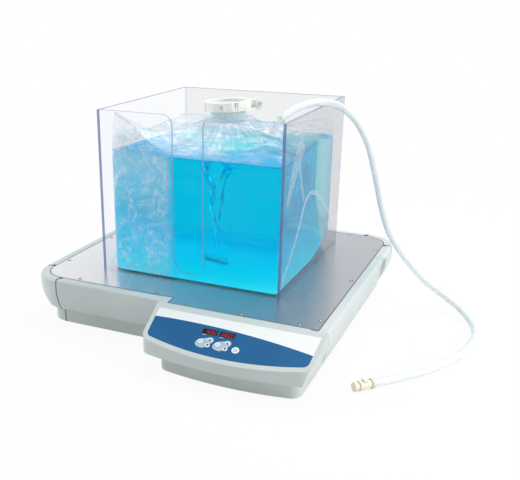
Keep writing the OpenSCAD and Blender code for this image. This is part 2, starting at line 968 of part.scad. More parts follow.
module power_board() {
    top = pan_top + board_post_h + power_board_size[2];
    color(board_colour)
    translate([power_board_mid[0], power_board_mid[1], 0]) {
        translate([-power_board_size[0] / 2, -power_board_size[1] / 2, top - power_board_size[2]])
            cube(power_board_size);
        translate([transformer_in - power_board_size[0] / 2, -transformer_d / 2, top - cut])
            cube([transformer_w, transformer_d, transformer_h]);
        translate([power_board_size[0] / 2 - cooler_in - cooler_w, -cooler_d / 2, top - cut])
            cube([cooler_w, cooler_d, cooler_h]);
        for (i = [-1 : 1])
            translate([cooler_w, i * capacitor_pitch, top - cut])
                cylinder(d = capacitor_d, h = capacitor_h);
    }
}

// Round socket for the supply's plug, in the back rail's skirt
inlet_r = 5.5;
inlet_rim_r = 6.7;
inlet_rim_t = 2;
inlet_bore_r = 2.75;
inlet_pin_r = 1.05;
inlet_len = 15;
inlet_floor = 2;
inlet_x = -plate_x / 2;
inlet_z = (flange_top + bulge_foot - undercut_h) / 2;

module inlet_frame() {
    translate([inlet_x, plate_back - skirt_in, inlet_z])
        rotate([-90, 0, 0])
            children();
}

module power_inlet() {
    color(black_colour)
    inlet_frame() {
        difference() {
            union() {
                cylinder(r = inlet_rim_r, h = inlet_rim_t);
                translate([0, 0, -inlet_len])
                    cylinder(r = inlet_r, h = inlet_len + inlet_rim_t / 2);
            }
            translate([0, 0, inlet_floor - inlet_len])
                cylinder(r = inlet_bore_r, h = inlet_len + inlet_rim_t);
        }
        translate([0, 0, inlet_floor / 2 - inlet_len])
            cylinder(r = inlet_pin_r, h = inlet_len);
    }
}

module motor_bracket() {
    wall_out = bracket_wall + bracket_t;
    color([0.66, 0.67, 0.68])
    difference() {
        translate([0, tank_mid + bracket_len / 2, 0])
            rotate([90, 0, 0])
                linear_extrude(bracket_len) {
                    translate([-wall_out, bracket_under])
                        square([2 * wall_out, bracket_t]);
                    for (s = [0, 1])
                        mirror([s, 0]) {
                            translate([bracket_wall, pan_top])
                                square([bracket_t, bracket_top - pan_top]);
                            translate([bracket_wall, pan_top])
                                square([bracket_t + bracket_foot_w, bracket_t]);
                        }
                }
        tank_frame()
            translate([0, 0, bracket_under - cut])
                cylinder(r = bearing_r + can_t + fit, h = bracket_t + 2 * cut);
        for (p = bracket_screw_places)
            translate([p[0], p[1], pan_top - cut])
                cylinder(d = screw_d + screw_fit, h = bracket_t + 2 * cut);
    }
}

module motor_can() {
    color([0.30, 0.31, 0.33])
    tank_frame()
        difference() {
            translate([0, 0, can_foot])
                cylinder(d = motor_d, h = bell_foot - can_foot);
            translate([0, 0, can_foot + can_floor])
                cylinder(d = motor_d - 2 * can_t, h = bell_foot - can_foot);
            translate([0, 0, can_foot - cut])
                cylinder(r = shaft_d / 2 + shaft_clear, h = can_floor);
            translate([0, 0, lower_bearing])
                cylinder(r = bearing_r, h = bearing_h);
        }
}

module motor_end_bell() {
    color([0.55, 0.56, 0.58])
    tank_frame()
        difference() {
            union() {
                translate([0, 0, bell_foot])
                    cylinder(d = motor_d, h = bell_t);
                translate([0, 0, bell_foot])
                    cylinder(r = bearing_r + can_t, h = bell_t + bracket_t);
            }
            translate([0, 0, bell_foot - cut])
                cylinder(r = bearing_r, h = bearing_h + cut);
            translate([0, 0, bell_foot])
                cylinder(r = shaft_d / 2 + shaft_clear, h = bell_t + bracket_t + cut);
        }
}

module motor_stator() {
    color([0.72, 0.45, 0.20])
    tank_frame()
        translate([0, 0, can_foot + can_floor])
            ring(stator_r, stator_r - stator_t, bell_foot - can_foot - can_floor - fit);
}

module motor_bearings() {
    color(steel_colour)
    tank_frame()
        for (z = [lower_bearing, bell_foot])
            translate([0, 0, z])
                ring(bearing_r - slip, shaft_d / 2 + slip, bearing_h);
}

// Shaft with a collar that stands on the lower bearing
module motor_shaft() {
    color(steel_colour)
    tank_frame() {
        translate([0, 0, shaft_foot])
            cylinder(d = shaft_d, h = shaft_top - shaft_foot);
        translate([0, 0, collar_foot])
            cylinder(d = shaft_d + 2 * collar_rise, h = collar_h);
    }
}

module motor_rotor() {
    color([0.40, 0.40, 0.42])
    tank_frame()
        translate([0, 0, rotor_foot])
            ring(rotor_r, shaft_d / 2 + slip, rotor_h);
}

module magnet_places() {
    tank_frame()
        rotate(bar_heading)
            for (s = [-1, 1])
                translate([s * magnet_reach, 0, 0])
                    children();
}

module magnet_carrier() {
    color([0.80, 0.80, 0.82])
    difference() {
        tank_frame()
            translate([0, 0, carrier_foot])
                ring(carrier_d / 2, shaft_d / 2 + slip, carrier_t);
        magnet_places()
            translate([0, 0, carrier_foot + pocket_floor])
                cylinder(d = magnet_d + 2 * slip, h = carrier_t);
    }
}

module drive_magnets() {
    color([0.55, 0.55, 0.58])
    magnet_places()
        translate([0, 0, carrier_foot + pocket_floor])
            cylinder(d = magnet_d, h = carrier_t - pocket_floor);
}

module tank_floor_panel() {
    color(clear_colour)
    translate([-tank_x + tank_t, tank_mid - tank_y + tank_t, base_h])
        cube([tank_w - 2 * tank_t, tank_d - 2 * tank_t, tank_floor_t]);
}

module tank_left_panel() {
    color(clear_colour)
    translate([-tank_x, tank_mid - tank_y, base_h])
        cube([tank_t, tank_d, tank_h]);
}

module tank_right_panel() {
    color(clear_colour)
    translate([tank_x - tank_t, tank_mid - tank_y, base_h])
        cube([tank_t, tank_d, tank_h]);
}

module tank_back_panel() {
    color(clear_colour)
    translate([-tank_x + tank_t, tank_mid + tank_y - tank_t, base_h])
        cube([tank_w - 2 * tank_t, tank_t, tank_h]);
}

// Slot outline: a round end below, straight sides and flared upper corners
module slot_outline() {
    r = slot_w / 2;
    translate([0, slot_foot + r])
        circle(r);
    translate([-r, slot_foot + r])
        square([slot_w, tank_h]);
    difference() {
        translate([-r - slot_corner_r, tank_h - slot_corner_r])
            square([slot_w + 2 * slot_corner_r, slot_corner_r + cut]);
        for (s = [-1, 1])
            translate([s * (r + slot_corner_r), tank_h - slot_corner_r])
                circle(slot_corner_r);
    }
}

module tank_front_panel() {
    color(clear_colour)
    translate([0, tank_mid - tank_y + tank_t, base_h])
        rotate([90, 0, 0])
            linear_extrude(tank_t)
                difference() {
                    translate([-tank_x + tank_t, 0])
                        square([tank_w - 2 * tank_t, tank_h]);
                    slot_outline();
                }
}

// Elbow that carries the hose, on a foot that leans with the film
elbow_lean = 16.4;
elbow_way = [sin(elbow_lean), 0, cos(elbow_lean)];
elbow_h = 16.5;
elbow = hose_start - barb_len * hose_out;
elbow_foot = elbow - elbow_h * elbow_way;
elbow_r = hose_r + 1;
elbow_flange_r = 14;
elbow_flange_t = 2;

// Thickness of the film's patch under the elbow
patch_t = 6;

// Walls of the filled bag: rounded lower edges, and sides folded in behind their middles
side_steps = 6;
corner_steps = 4;
straight_y = bag_depth / 2 - bag_r;
fold_y = straight_y * 2 / 3;
fold_lift = 3;
fold_h = 78;
fold_foot = bag_foot + foot_back_r + fold_lift;
fold_top = fold_foot + fold_h;

// The film on top: it lies low over the liquid and rises to the port's weld, to the elbow and at its edge.
// Each peak of the edge has a place in shares of the bag's half width and depth, a height and a spread
film_low = liquid_top + film_rise;
edge_share = 0.97;
film_peaks = [
    [[-0.91, -0.90], 18, 40], [[-1, 0.07], 14, 70], [[-0.84, 0.84], 14, 55],
    [[0.87, 0.84], 26, 45], [[0.97, -0.87], 10, 30], [[1, -0.14], 12, 50]
];
edge_fall = 2.2;
weld_climb = 1.9;
elbow_spread = 22;
elbow_seat = [elbow_foot[0], elbow_foot[1] - tank_mid, elbow_foot[2] - 3 * fit];
top_shares = [0.10, 0.22, 0.38, 0.55, 0.72, 0.88, 1];

function sum(v, i = 0) = i < len(v) ? v[i] + sum(v, i + 1) : 0;
function hill(d, spread) = exp(-(d * d) / (2 * spread * spread));
function ease(a, b, x) = let (t = min(1, max(0, (x - a) / (b - a)))) t * t * (3 - 2 * t);
function swap(p, z) = [p[0], p[1], z];

// The bag's corners from its front right, anticlockwise: the side that each lies on, and its radius
bag_corners = [[1, -1, bag_tight_r], [1, 1, bag_r], [-1, 1, bag_r], [-1, -1, bag_r]];
function corner_mid(c) = [c[0] * (bag_w / 2 - c[2]), c[1] * (bag_depth / 2 - c[2])];

// Places round the bag, set in by t, anticlockwise from the left of its front, each with its way outwards
function bag_plan(t) = [for (q = [0 : 3], i = [0 : side_steps + corner_steps - 1])
    let (
        turn = 90 * q - 90 + 90 * max(0, i - side_steps) / corner_steps,
        way = [cos(turn), sin(turn)],
        share = min(1, i / side_steps),
        last = bag_corners[(q + 3) % 4],
        next = bag_corners[q],
        start = corner_mid(last) + (last[2] - t) * way,
        end = corner_mid(next) + (next[2] - t) * way
    ) [start * (1 - share) + end * share, way]];

// Shares of the bag's depth and width over which its lower edge widens and its fold sets in
foot_span = [0.07, 0.45];
fold_span = [0.33, 0.47];

function foot_r(y) = foot_front_r
    + (foot_back_r - foot_front_r) * ease(bag_depth * foot_span[0], bag_depth * foot_span[1], y);

function folded(p) = let (
        tent = min((p[1] + straight_y) / (fold_y + straight_y), (straight_y - p[1]) / (straight_y - fold_y)),
        level = min(1, max(0, (p[2] - fold_foot) / (fold_top - fold_foot))),
        side = ease(bag_w * fold_span[0], bag_w * fold_span[1], abs(p[0]))
    ) [p[0] - sign(p[0]) * fold_in * max(0, tent) * level * side, p[1], p[2]];

function foot_ring(t, a) = [for (e = bag_plan(t))
    let (r = foot_r(e[0][1]) - t, p = e[0] - r * (1 - sin(a)) * e[1])
    swap(p, bag_foot + t + r * (1 - cos(a)))];

function wall_ring(t, z) = [for (e = bag_plan(t)) folded(swap(e[0], z))];

function wall_rings(t, top) = concat(
    [for (a = [0, 45, 90]) foot_ring(t, a)],
    [for (z = [fold_foot, fold_top, top]) wall_ring(t, z)]
);

function edge_rise(p) = sum([for (k = film_peaks)
    k[1] * hill(norm([p[0] - k[0][0] * bag_w / 2, p[1] - k[0][1] * bag_depth / 2]), k[2])]);

// Place on the port's weld in the tank's frame, at a turn round the port
function weld_point(t, turn) = let (x = (weld_r - t) * cos(turn), z = -spout_len - slip - t)
    [x * cos(port_tilt) - z * sin(port_tilt), (weld_r - t) * sin(turn),
        port_z + x * sin(port_tilt) + z * cos(port_tilt)];

function top_point(t, e, s) = let (
        outer = edge_share * e,
        weld = weld_point(t, atan2(e[1], e[0])),
        p = [for (i = [0, 1]) outer[i] * (1 - s) + weld[i] * s],
        lift = edge_rise(e) * pow(1 - s, edge_fall),
        z = film_low - t + lift + (weld[2] + t - film_low) * pow(s, weld_climb),
        near = s < 1 ? hill(norm([p[0] - elbow_seat[0], p[1] - elbow_seat[1]]), elbow_spread) : 0,
        seat = elbow_seat[2] - t - (p[0] - elbow_seat[0]) * tan(elbow_lean)
    ) folded(swap(p, z + near * max(0, seat - z)));

function top_rings(t) = [for (s = concat([0], top_shares)) [for (e = bag_plan(t)) top_point(t, e[0], s)]];

// A closed solid of triangles from rings of places, bottom to top, with a middle place at each end
module ring_solid(rings, foot, head) {
    n = len(rings[0]);
    m = len(rings);
    quads = [for (i = [0 : m - 2], k = [0 : n - 1]) [i * n + k, i * n + (k + 1) % n]];
    polyhedron(
        concat([for (r = rings, p = r) p], [foot, head]),
        concat(
            [for (q = quads) [q[0], q[0] + n, q[1] + n]],
            [for (q = quads) [q[0], q[1] + n, q[1]]],
            [for (k = [0 : n - 1]) [m * n, k, (k + 1) % n]],
            [for (k = [0 : n - 1]) [m * n + 1, (m - 1) * n + (k + 1) % n, (m - 1) * n + k]]
        )
    );
}

// The filled bag's form, set in by t
module bag_form(t) {
    tank_frame()
        ring_solid(
            concat(wall_rings(t, liquid_top + fit), top_rings(t)),
            [0, 0, bag_foot + t],
            (weld_point(t, 0) + weld_point(t, 180)) / 2
        );
}

module bag_film() {
    color([0.86, 0.92, 0.95, 0.4])
    difference() {
        union() {
            bag_form(0);
            along(elbow_foot, elbow)
                translate([0, 0, -patch_t])
                    cylinder(r = elbow_flange_r, h = patch_t);
        }
        bag_form(film_t);
        port_frame()
            translate([0, 0, -2 * spout_len])
                cylinder(r = spout_d / 2 - spout_t, h = 2 * spout_len);
    }
}

// Radius of the vortex at a share of the way up: a slim foot and a wide mouth
vortex_tip_r = 2.5;
vortex_cone = 0.32;
vortex_flare = 4.2;
function vortex_at(s) = vortex_tip_r
    + (vortex_d / 2 - vortex_tip_r) * (vortex_cone * s + (1 - vortex_cone) * pow(s, vortex_flare));

module bag_liquid() {
    low = liquid_foot + stir_room_h - cut;
    steps = 10;
    color([0.0, 0.68, 0.85, 0.7])
    tank_frame()
        difference() {
            ring_solid(wall_rings(film_t + fit, liquid_top), [0, 0, liquid_foot], [0, 0, liquid_top]);
            rotate_extrude()
                polygon(concat(
                    [[0, low]],
                    [for (i = [0 : steps]) [vortex_at(i / steps), low + (liquid_top - low) * i / steps]],
                    [[vortex_d / 2, liquid_top + cut], [0, liquid_top + cut]]
                ));
            translate([0, 0, liquid_foot - cut])
                cylinder(r = bar_len / 2 + cut, h = stir_room_h + cut);
        }
}

module stir_bar() {
    r = bar_d / 2;
    ring_t = 6;
    color([0.96, 0.96, 0.97])
    tank_frame()
        translate([0, 0, bar_z])
            rotate([0, 0, bar_heading]) {
                rotate([0, 90, 0])
                    cylinder(r = r, h = bar_len - bar_d, center = true);
                for (s = [-1, 1])
                    translate([s * (bar_len / 2 - r), 0, 0])
                        sphere(r);
                rotate([0, 90, 0])
                    cylinder(r = r + fit / 2, h = ring_t, center = true);
            }
}

module port_spout() {
    color([0.88, 0.92, 0.91])
    port_frame()
        difference() {
            union() {
                translate([0, 0, -spout_len])
                    cylinder(r = weld_r, h = weld_t);
                translate([0, 0, -spout_len])
                    cylinder(d = spout_d, h = spout_len - gasket_t / 2);
                translate([0, 0, -gasket_t / 2 - ferrule_t])
                    cylinder(d = ferrule_d, h = ferrule_t);
            }
            translate([0, 0, -spout_len - cut])
                cylinder(d = spout_d - 2 * spout_t, h = spout_len + 2 * cut);
        }
}

module port_gasket() {
    color([0.90, 0.90, 0.90])
    port_frame()
        translate([0, 0, -gasket_t / 2])
            ring(ferrule_d / 2, spout_d / 2 - spout_t, gasket_t);
}

// End cap on the gasket, with a shallow dish in its face
module port_cap() {
    dish_t = 1.5;
    dish_rim = 4;
    color([0.86, 0.88, 0.89])
    port_frame()
        translate([0, 0, gasket_t / 2])
            difference() {
                cylinder(d = ferrule_d, h = ferrule_t);
                translate([0, 0, dish_t])
                    cylinder(d = spout_d - 2 * dish_rim, h = ferrule_t);
            }
}

// Frame of the clamp, with its bolt towards +X
module clamp_frame() {
    port_frame()
        rotate(clamp_turn)
            children();
}

// Half of the clamp's ring: a channel that holds both ferrules, from one angle to the other
module clamp_channel(a0, a1) {
    rotate(a0)
        rotate_extrude(angle = a1 - a0)
            difference() {
                translate([clamp_bore_r, -clamp_h / 2])
                    square([clamp_r - clamp_bore_r, clamp_h]);
                translate([0, -stack_h / 2 - fit])
                    square([ferrule_d / 2 + fit, stack_h + 2 * fit]);
            }
}

// Ear of the clamp at the bolt, on the side given by s
module clamp_ear(s) {
    difference() {
        translate([clamp_bore_r + ear_sink, s > 0 ? lug_gap / 2 : -lug_gap / 2 - lug_t, ear_in - clamp_h / 2])
            cube([lug_end - clamp_bore_r - ear_sink, lug_t, clamp_h - 2 * ear_in]);
        cylinder(d = ferrule_d + 2 * fit, h = far, center = true);
        translate([bolt_x, 0, 0])
            rotate([90, 0, 0])
                cylinder(d = bolt_d + 2 * fit, h = far, center = true);
    }
}

// Knuckle of the clamp's hinge between two heights
module clamp_knuckle(z0, z1, s) {
    difference() {
        union() {
            translate([hinge_x, 0, z0])
                cylinder(r = hinge_r, h = z1 - z0);
            translate([hinge_x, s > 0 ? 0 : -hinge_r, z0])
                cube([-clamp_bore_r - ear_sink - hinge_x, hinge_r, z1 - z0]);
        }
        cylinder(d = ferrule_d + 2 * fit, h = far, center = true);
        translate([hinge_x, 0, z0 - cut])
            cylinder(d = hinge_pin_d + 2 * slip, h = z1 - z0 + 2 * cut);
    }
}

clamp_split = 4;
knuckle_h = clamp_h / 3;

module clamp_front_half() {
    pad_turn = 328;
    pad_rise = 1.5;
    pad = [9, 3, 11];
    pad_slot = [1.6, 6, 6];
    color(ivory_colour)
    clamp_frame()
        difference() {
            union() {
                clamp_channel(180 + clamp_split, 360 - clamp_split);
                clamp_ear(-1);
                clamp_knuckle(-knuckle_h / 2 + slip, knuckle_h / 2 - slip, -1);
                rotate(pad_turn)
                    translate([-pad[0] / 2, -clamp_r - pad_rise, -pad[2] / 2])
                        cube(pad);
            }
            rotate(pad_turn)
                translate([0, -clamp_r - pad_rise, 0])
                    cube(pad_slot, center = true);
            for (s = [-1, 1])
                translate([hinge_x, 0, s * knuckle_h])
                    cylinder(r = hinge_r + fit, h = knuckle_h, center = true);
        }
}

module clamp_back_half() {
    color(ivory_colour)
    clamp_frame()
        difference() {
            union() {
                clamp_channel(clamp_split, 180 - clamp_split);
                clamp_ear(1);
                clamp_knuckle(knuckle_h / 2 + slip, clamp_h / 2, 1);
                clamp_knuckle(-clamp_h / 2, -knuckle_h / 2 - slip, 1);
            }
            translate([hinge_x, 0, 0])
                cylinder(r = hinge_r + fit, h = knuckle_h, center = true);
        }
}

module clamp_hinge_pin() {
    color(steel_colour)
    clamp_frame()
        translate([hinge_x, 0, 0])
            cylinder(d = hinge_pin_d, h = clamp_h, center = true);
}

// Bolt through both ears, with its head at the back
nut_len = 8;
ear_front = -lug_gap / 2 - lug_t;

module clamp_bolt() {
    head_r = 5;
    head_h = 4;
    color(steel_colour)
    clamp_frame()
        translate([bolt_x, 0, 0])
            rotate([90, 0, 0]) {
                translate([0, 0, ear_front])
                    cylinder(d = bolt_d, h = -2 * ear_front + nut_len + 1);
                translate([0, 0, ear_front - head_h])
                    cylinder(r = head_r, h = head_h);
            }
}

// Wing nut in front of the ears, turning on the bolt
module clamp_nut() {
    hub_r = 5.5;
    wing_t = 4;
    wing_end_r = 4.5;
    color(ivory_colour)
    clamp_frame()
        translate([bolt_x, ear_front, 0])
            rotate([90, 0, 0])
                difference() {
                    union() {
                        cylinder(r = hub_r, h = nut_len);
                        for (s = [-1, 1])
                            translate([0, s * (wing_len / 2 - wing_end_r), nut_len / 2 - wing_t / 2])
                                cylinder(r = wing_end_r, h = wing_t);
                        translate([-wing_end_r, -wing_len / 2 + wing_end_r, nut_len / 2 - wing_t / 2])
                            cube([2 * wing_end_r, wing_len - 2 * wing_end_r, wing_t]);
                    }
                    translate([0, 0, -cut])
                        cylinder(d = bolt_d + 2 * slip, h = nut_len + 2 * cut);
                }
}

// Elbow on the film that the hose is pushed on to
module hose_port() {
    color([0.90, 0.93, 0.92]) {
        along(elbow_foot, elbow) {
            cylinder(r = elbow_flange_r, h = elbow_flange_t);
            cylinder(r = elbow_r, h = elbow_h);
        }
        translate(elbow)
            sphere(elbow_r + fit);
        along(elbow, hose_start)
            cylinder(r = elbow_r, h = barb_len);
    }
}

module hose_tie(p, way) {
    color(tie_colour)
    along(p, p + way)
        ring(hose_r + fit + tie_t, hose_r + fit, tie_w);
}

module hose_tie_port() {
    hose_tie(hose_start + fit * hose_out, hose_out);
}

module hose_tie_end() {
    hose_tie(hose_end - (tie_w + fit) * coupling_way, coupling_way);
}

// Point on the smooth curve through the route's points, at point i and share s of the way to the next
function route_at(i, s) =
    let (
        n = len(hose_route) - 1,
        b = hose_route[i],
        c = hose_route[min(i + 1, n)],
        a = i > 0 ? hose_route[i - 1] : 2 * b - c,
        d = i + 2 > n ? 2 * c - b : hose_route[i + 2]
    )
    b + s * (c - a) / 2 + s * s * (a - 2.5 * b + 2 * c - d / 2) + s * s * s * (1.5 * (b - c) + (d - a) / 2);

hose_line = concat(
    [for (i = [0 : len(hose_route) - 2], k = [0 : hose_steps - 1]) route_at(i, k / hose_steps)],
    [hose_end]
);
hose_last = len(hose_line) - 1;
hose_ways = [for (i = [0 : hose_last])
    i == 0 ? hose_out : i == hose_last ? coupling_way : unit(hose_line[i + 1] - hose_line[i - 1])];

// Side vector at each ring, carried along the hose without twist
function carry(v, way) = unit(v - (v * way) * way);
function hose_sides_at(i, v) =
    i > hose_last ? [] :
    let (w = carry(v, hose_ways[i]))
    concat([w], hose_sides_at(i + 1, w));

module hose() {
    side = hose_sides_at(0, [1, 0, 0]);
    n = hose_sides;
    ring_points = [for (i = [0 : hose_last], k = [0 : n - 1])
        let (turn = 360 * k / n)
        hose_line[i] + hose_r * (cos(turn) * side[i] + sin(turn) * cross(hose_ways[i], side[i]))];
    wall = [for (i = [0 : hose_last - 1], k = [0 : n - 1], half = [0, 1])
        let (a = i * n + k, b = i * n + (k + 1) % n)
        half == 0 ? [a, a + n, b] : [b, a + n, b + n]];
    ends = [for (k = [1 : n - 2], e = [0, 1])
        e == 0 ? [0, k, k + 1] : [hose_last * n, hose_last * n + k + 1, hose_last * n + k]];
    color([0.88, 0.92, 0.93, 0.8])
    polyhedron(ring_points, concat(wall, ends));
}

// Quick coupling on the hose's end, lying along the hose's last way
coupling_neck_r = 5;
coupling_start = 4;
coupling_len = 18;
coupling_neck = 4;
plug_stem_r = 3.5;
plug_t = 4;
latch_size = [5, 7, 4];
latch_at = 10;
latch_travel = 1.2;
latch_low = plug_stem_r + latch_travel + cut;
// Turn about the coupling's axis that brings its frame's +X up
latch_turn = 180;

module coupling_frame() {
    along(hose_end, hose_end + coupling_way)
        children();
}

// Latch, or with a clearance its pocket, across the coupling's top
module latch_block(clear, drop) {
    coupling_frame()
        rotate(latch_turn)
            translate([latch_low - drop, -latch_size[1] / 2 - clear, latch_at - latch_size[0] / 2 - clear])
                cube([latch_size[2] + drop, latch_size[1] + 2 * clear, latch_size[0] + 2 * clear]);
}

module coupling_body() {
    color([0.92, 0.89, 0.78])
    difference() {
        coupling_frame()
            difference() {
                union() {
                    cylinder(r = hose_r, h = coupling_start);
                    translate([0, 0, coupling_start])
                        cylinder(d = coupling_d, h = coupling_len - coupling_start);
                    cylinder(r = coupling_neck_r, h = coupling_len + coupling_neck);
                }
                translate([0, 0, coupling_start])
                    cylinder(r = plug_stem_r + slip, h = coupling_len + coupling_neck);
            }
        latch_block(fit, 2 * fit + latch_travel);
    }
}

module coupling_latch() {
    color([0.95, 0.95, 0.93])
    latch_block(0, 0);
}

module coupling_plug() {
    color([0.92, 0.89, 0.78])
    coupling_frame() {
        translate([0, 0, coupling_start + cut])
            cylinder(r = plug_stem_r, h = coupling_len + coupling_neck - coupling_start);
        translate([0, 0, coupling_len + coupling_neck])
            cylinder(d = coupling_d - cut, h = plug_t);
    }
}

base_pan();
rubber_feet();
pan_screws();
top_plate();
plate_screws();
front_rail();
left_rail();
back_rail();
right_rail();
corner_front_left();
corner_back_left();
corner_back_right();
control_housing();
control_skirt();
membrane_panel();
display_left();
display_right();
control_board();
key_left_set();
key_left_up();
key_left_down();
key_right_set();
key_right_up();
key_right_down();
key_on_off();
power_board();
power_inlet();
motor_bracket();
bracket_screws();
motor_can();
motor_end_bell();
motor_stator();
motor_bearings();
motor_shaft();
motor_rotor();
magnet_carrier();
drive_magnets();
tank_floor_panel();
tank_left_panel();
tank_right_panel();
tank_front_panel();
tank_back_panel();
bag_film();
bag_liquid();
stir_bar();
port_spout();
port_gasket();
port_cap();
clamp_front_half();
clamp_back_half();
clamp_hinge_pin();
clamp_bolt();
clamp_nut();
hose_port();
hose_tie_port();
hose();
hose_tie_end();
coupling_body();
coupling_latch();
coupling_plug();
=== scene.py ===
import math

import bmesh
import bpy
import numpy as np
from mathutils import Matrix, Vector, noise


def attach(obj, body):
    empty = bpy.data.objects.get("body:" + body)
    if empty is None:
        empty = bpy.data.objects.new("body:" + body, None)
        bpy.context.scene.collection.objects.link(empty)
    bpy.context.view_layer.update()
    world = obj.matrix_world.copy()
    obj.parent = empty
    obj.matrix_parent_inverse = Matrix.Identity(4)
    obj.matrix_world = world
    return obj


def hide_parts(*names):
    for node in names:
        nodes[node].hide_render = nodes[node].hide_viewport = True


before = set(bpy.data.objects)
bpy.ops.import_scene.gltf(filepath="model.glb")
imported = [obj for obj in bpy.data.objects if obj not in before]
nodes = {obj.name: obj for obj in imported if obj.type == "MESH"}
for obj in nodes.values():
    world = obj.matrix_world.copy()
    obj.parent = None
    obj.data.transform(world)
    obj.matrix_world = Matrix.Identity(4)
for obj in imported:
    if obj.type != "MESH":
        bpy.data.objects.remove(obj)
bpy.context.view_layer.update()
scene = bpy.context.scene
MM = 0.001

# Places shared with the solids, in metres
TANK_MID = 0.0445
TANK_HALF = 0.150
TANK_TOP = 0.336
FLOOR_TOP = 0.0825
WATER = 0.272
PANEL = (0.119, -0.1855, 0.080)
PANEL_TILT = math.radians(25)
PORT_Z = 0.332
PORT_TILT = math.radians(3)
FILM_HALF = 0.1426
FILM_FOOT = FLOOR_TOP + 0.35 * MM
LIQUID_HALF = 0.1418
LIQUID_FOOT = FLOOR_TOP + 0.8 * MM
WELD_R = 39.8 * MM
WELD_DROP = 22.4 * MM

# Places on the panel, in its own millimetres
PITCH = 25.8
SET_KEYS = [(-36.8 + i * PITCH, -55.0) for i in (0, 1)]
ARROWS = [[(-24.4 + i * PITCH, -55.0 + s * 4.6) for s in (1, -1)] for i in (0, 1)]
POWER = (16.2, -58.6)
RUN_LAMP = (-30.6, -54.4)
DISPLAYS = [(-29.7 + i * PITCH, -36.1) for i in (0, 1)]
KEY_TOP = 0.92
PRINT_TOP = 0.02
LAMP_TOP = 0.07
LENS_TOP = -0.27
FIRST_DIGIT = (-8.4, -2.9)
DIGIT_PITCH = 4.8


def smooth(a, b, x):
    t = np.clip((x - a) / (b - a), 0, 1)
    return t * t * (3 - 2 * t)


def panel_point(u, v, w=0.0):
    """A point of the sloped panel, from millimetres along it, up it and out of it."""
    c, s = math.cos(PANEL_TILT), math.sin(PANEL_TILT)
    return Vector((PANEL[0] + u * MM, PANEL[1] + (v * c - w * s) * MM, PANEL[2] + (v * s + w * c) * MM))


def port_point(x, y, z):
    """A point in the port's tilted frame, from metres."""
    c, s = math.cos(PORT_TILT), math.sin(PORT_TILT)
    return Vector((x * c - z * s, TANK_MID + y, PORT_Z + x * s + z * c))


# Camera at the photograph's view: its lens and middle in the photograph's pixels
CAMERA_AT = (0.4774, -1.0808, 0.5107)
CAMERA_TURN = (24.83, 20.43, -0.04)
PHOTO_W, PHOTO_H = 520, 480
PHOTO_LENS = 760.1
PHOTO_MID = (203, 268)
SENSOR = 36


def make_camera():
    az, el, roll = (math.radians(a) for a in CAMERA_TURN)
    back = Vector((math.sin(az) * math.cos(el), -math.cos(az) * math.cos(el), math.sin(el)))
    right = Vector((math.cos(az), math.sin(az), 0))
    up = back.cross(right)
    c, s = math.cos(roll), math.sin(roll)
    turn = Matrix((c * right - s * up, s * right + c * up, back)).transposed().to_4x4()
    turn.translation = CAMERA_AT
    data = bpy.data.cameras.new("camera")
    data.sensor_fit = "HORIZONTAL"
    data.sensor_width = SENSOR
    data.lens = PHOTO_LENS / PHOTO_W * SENSOR
    data.shift_x = (PHOTO_W / 2 - PHOTO_MID[0]) / PHOTO_W
    data.shift_y = (PHOTO_MID[1] - PHOTO_H / 2) / PHOTO_W
    data.clip_start = 0.05
    data.clip_end = 50
    camera = bpy.data.objects.new("camera", data)
    camera.matrix_world = turn
    scene.collection.objects.link(camera)
    scene.camera = camera


make_camera()


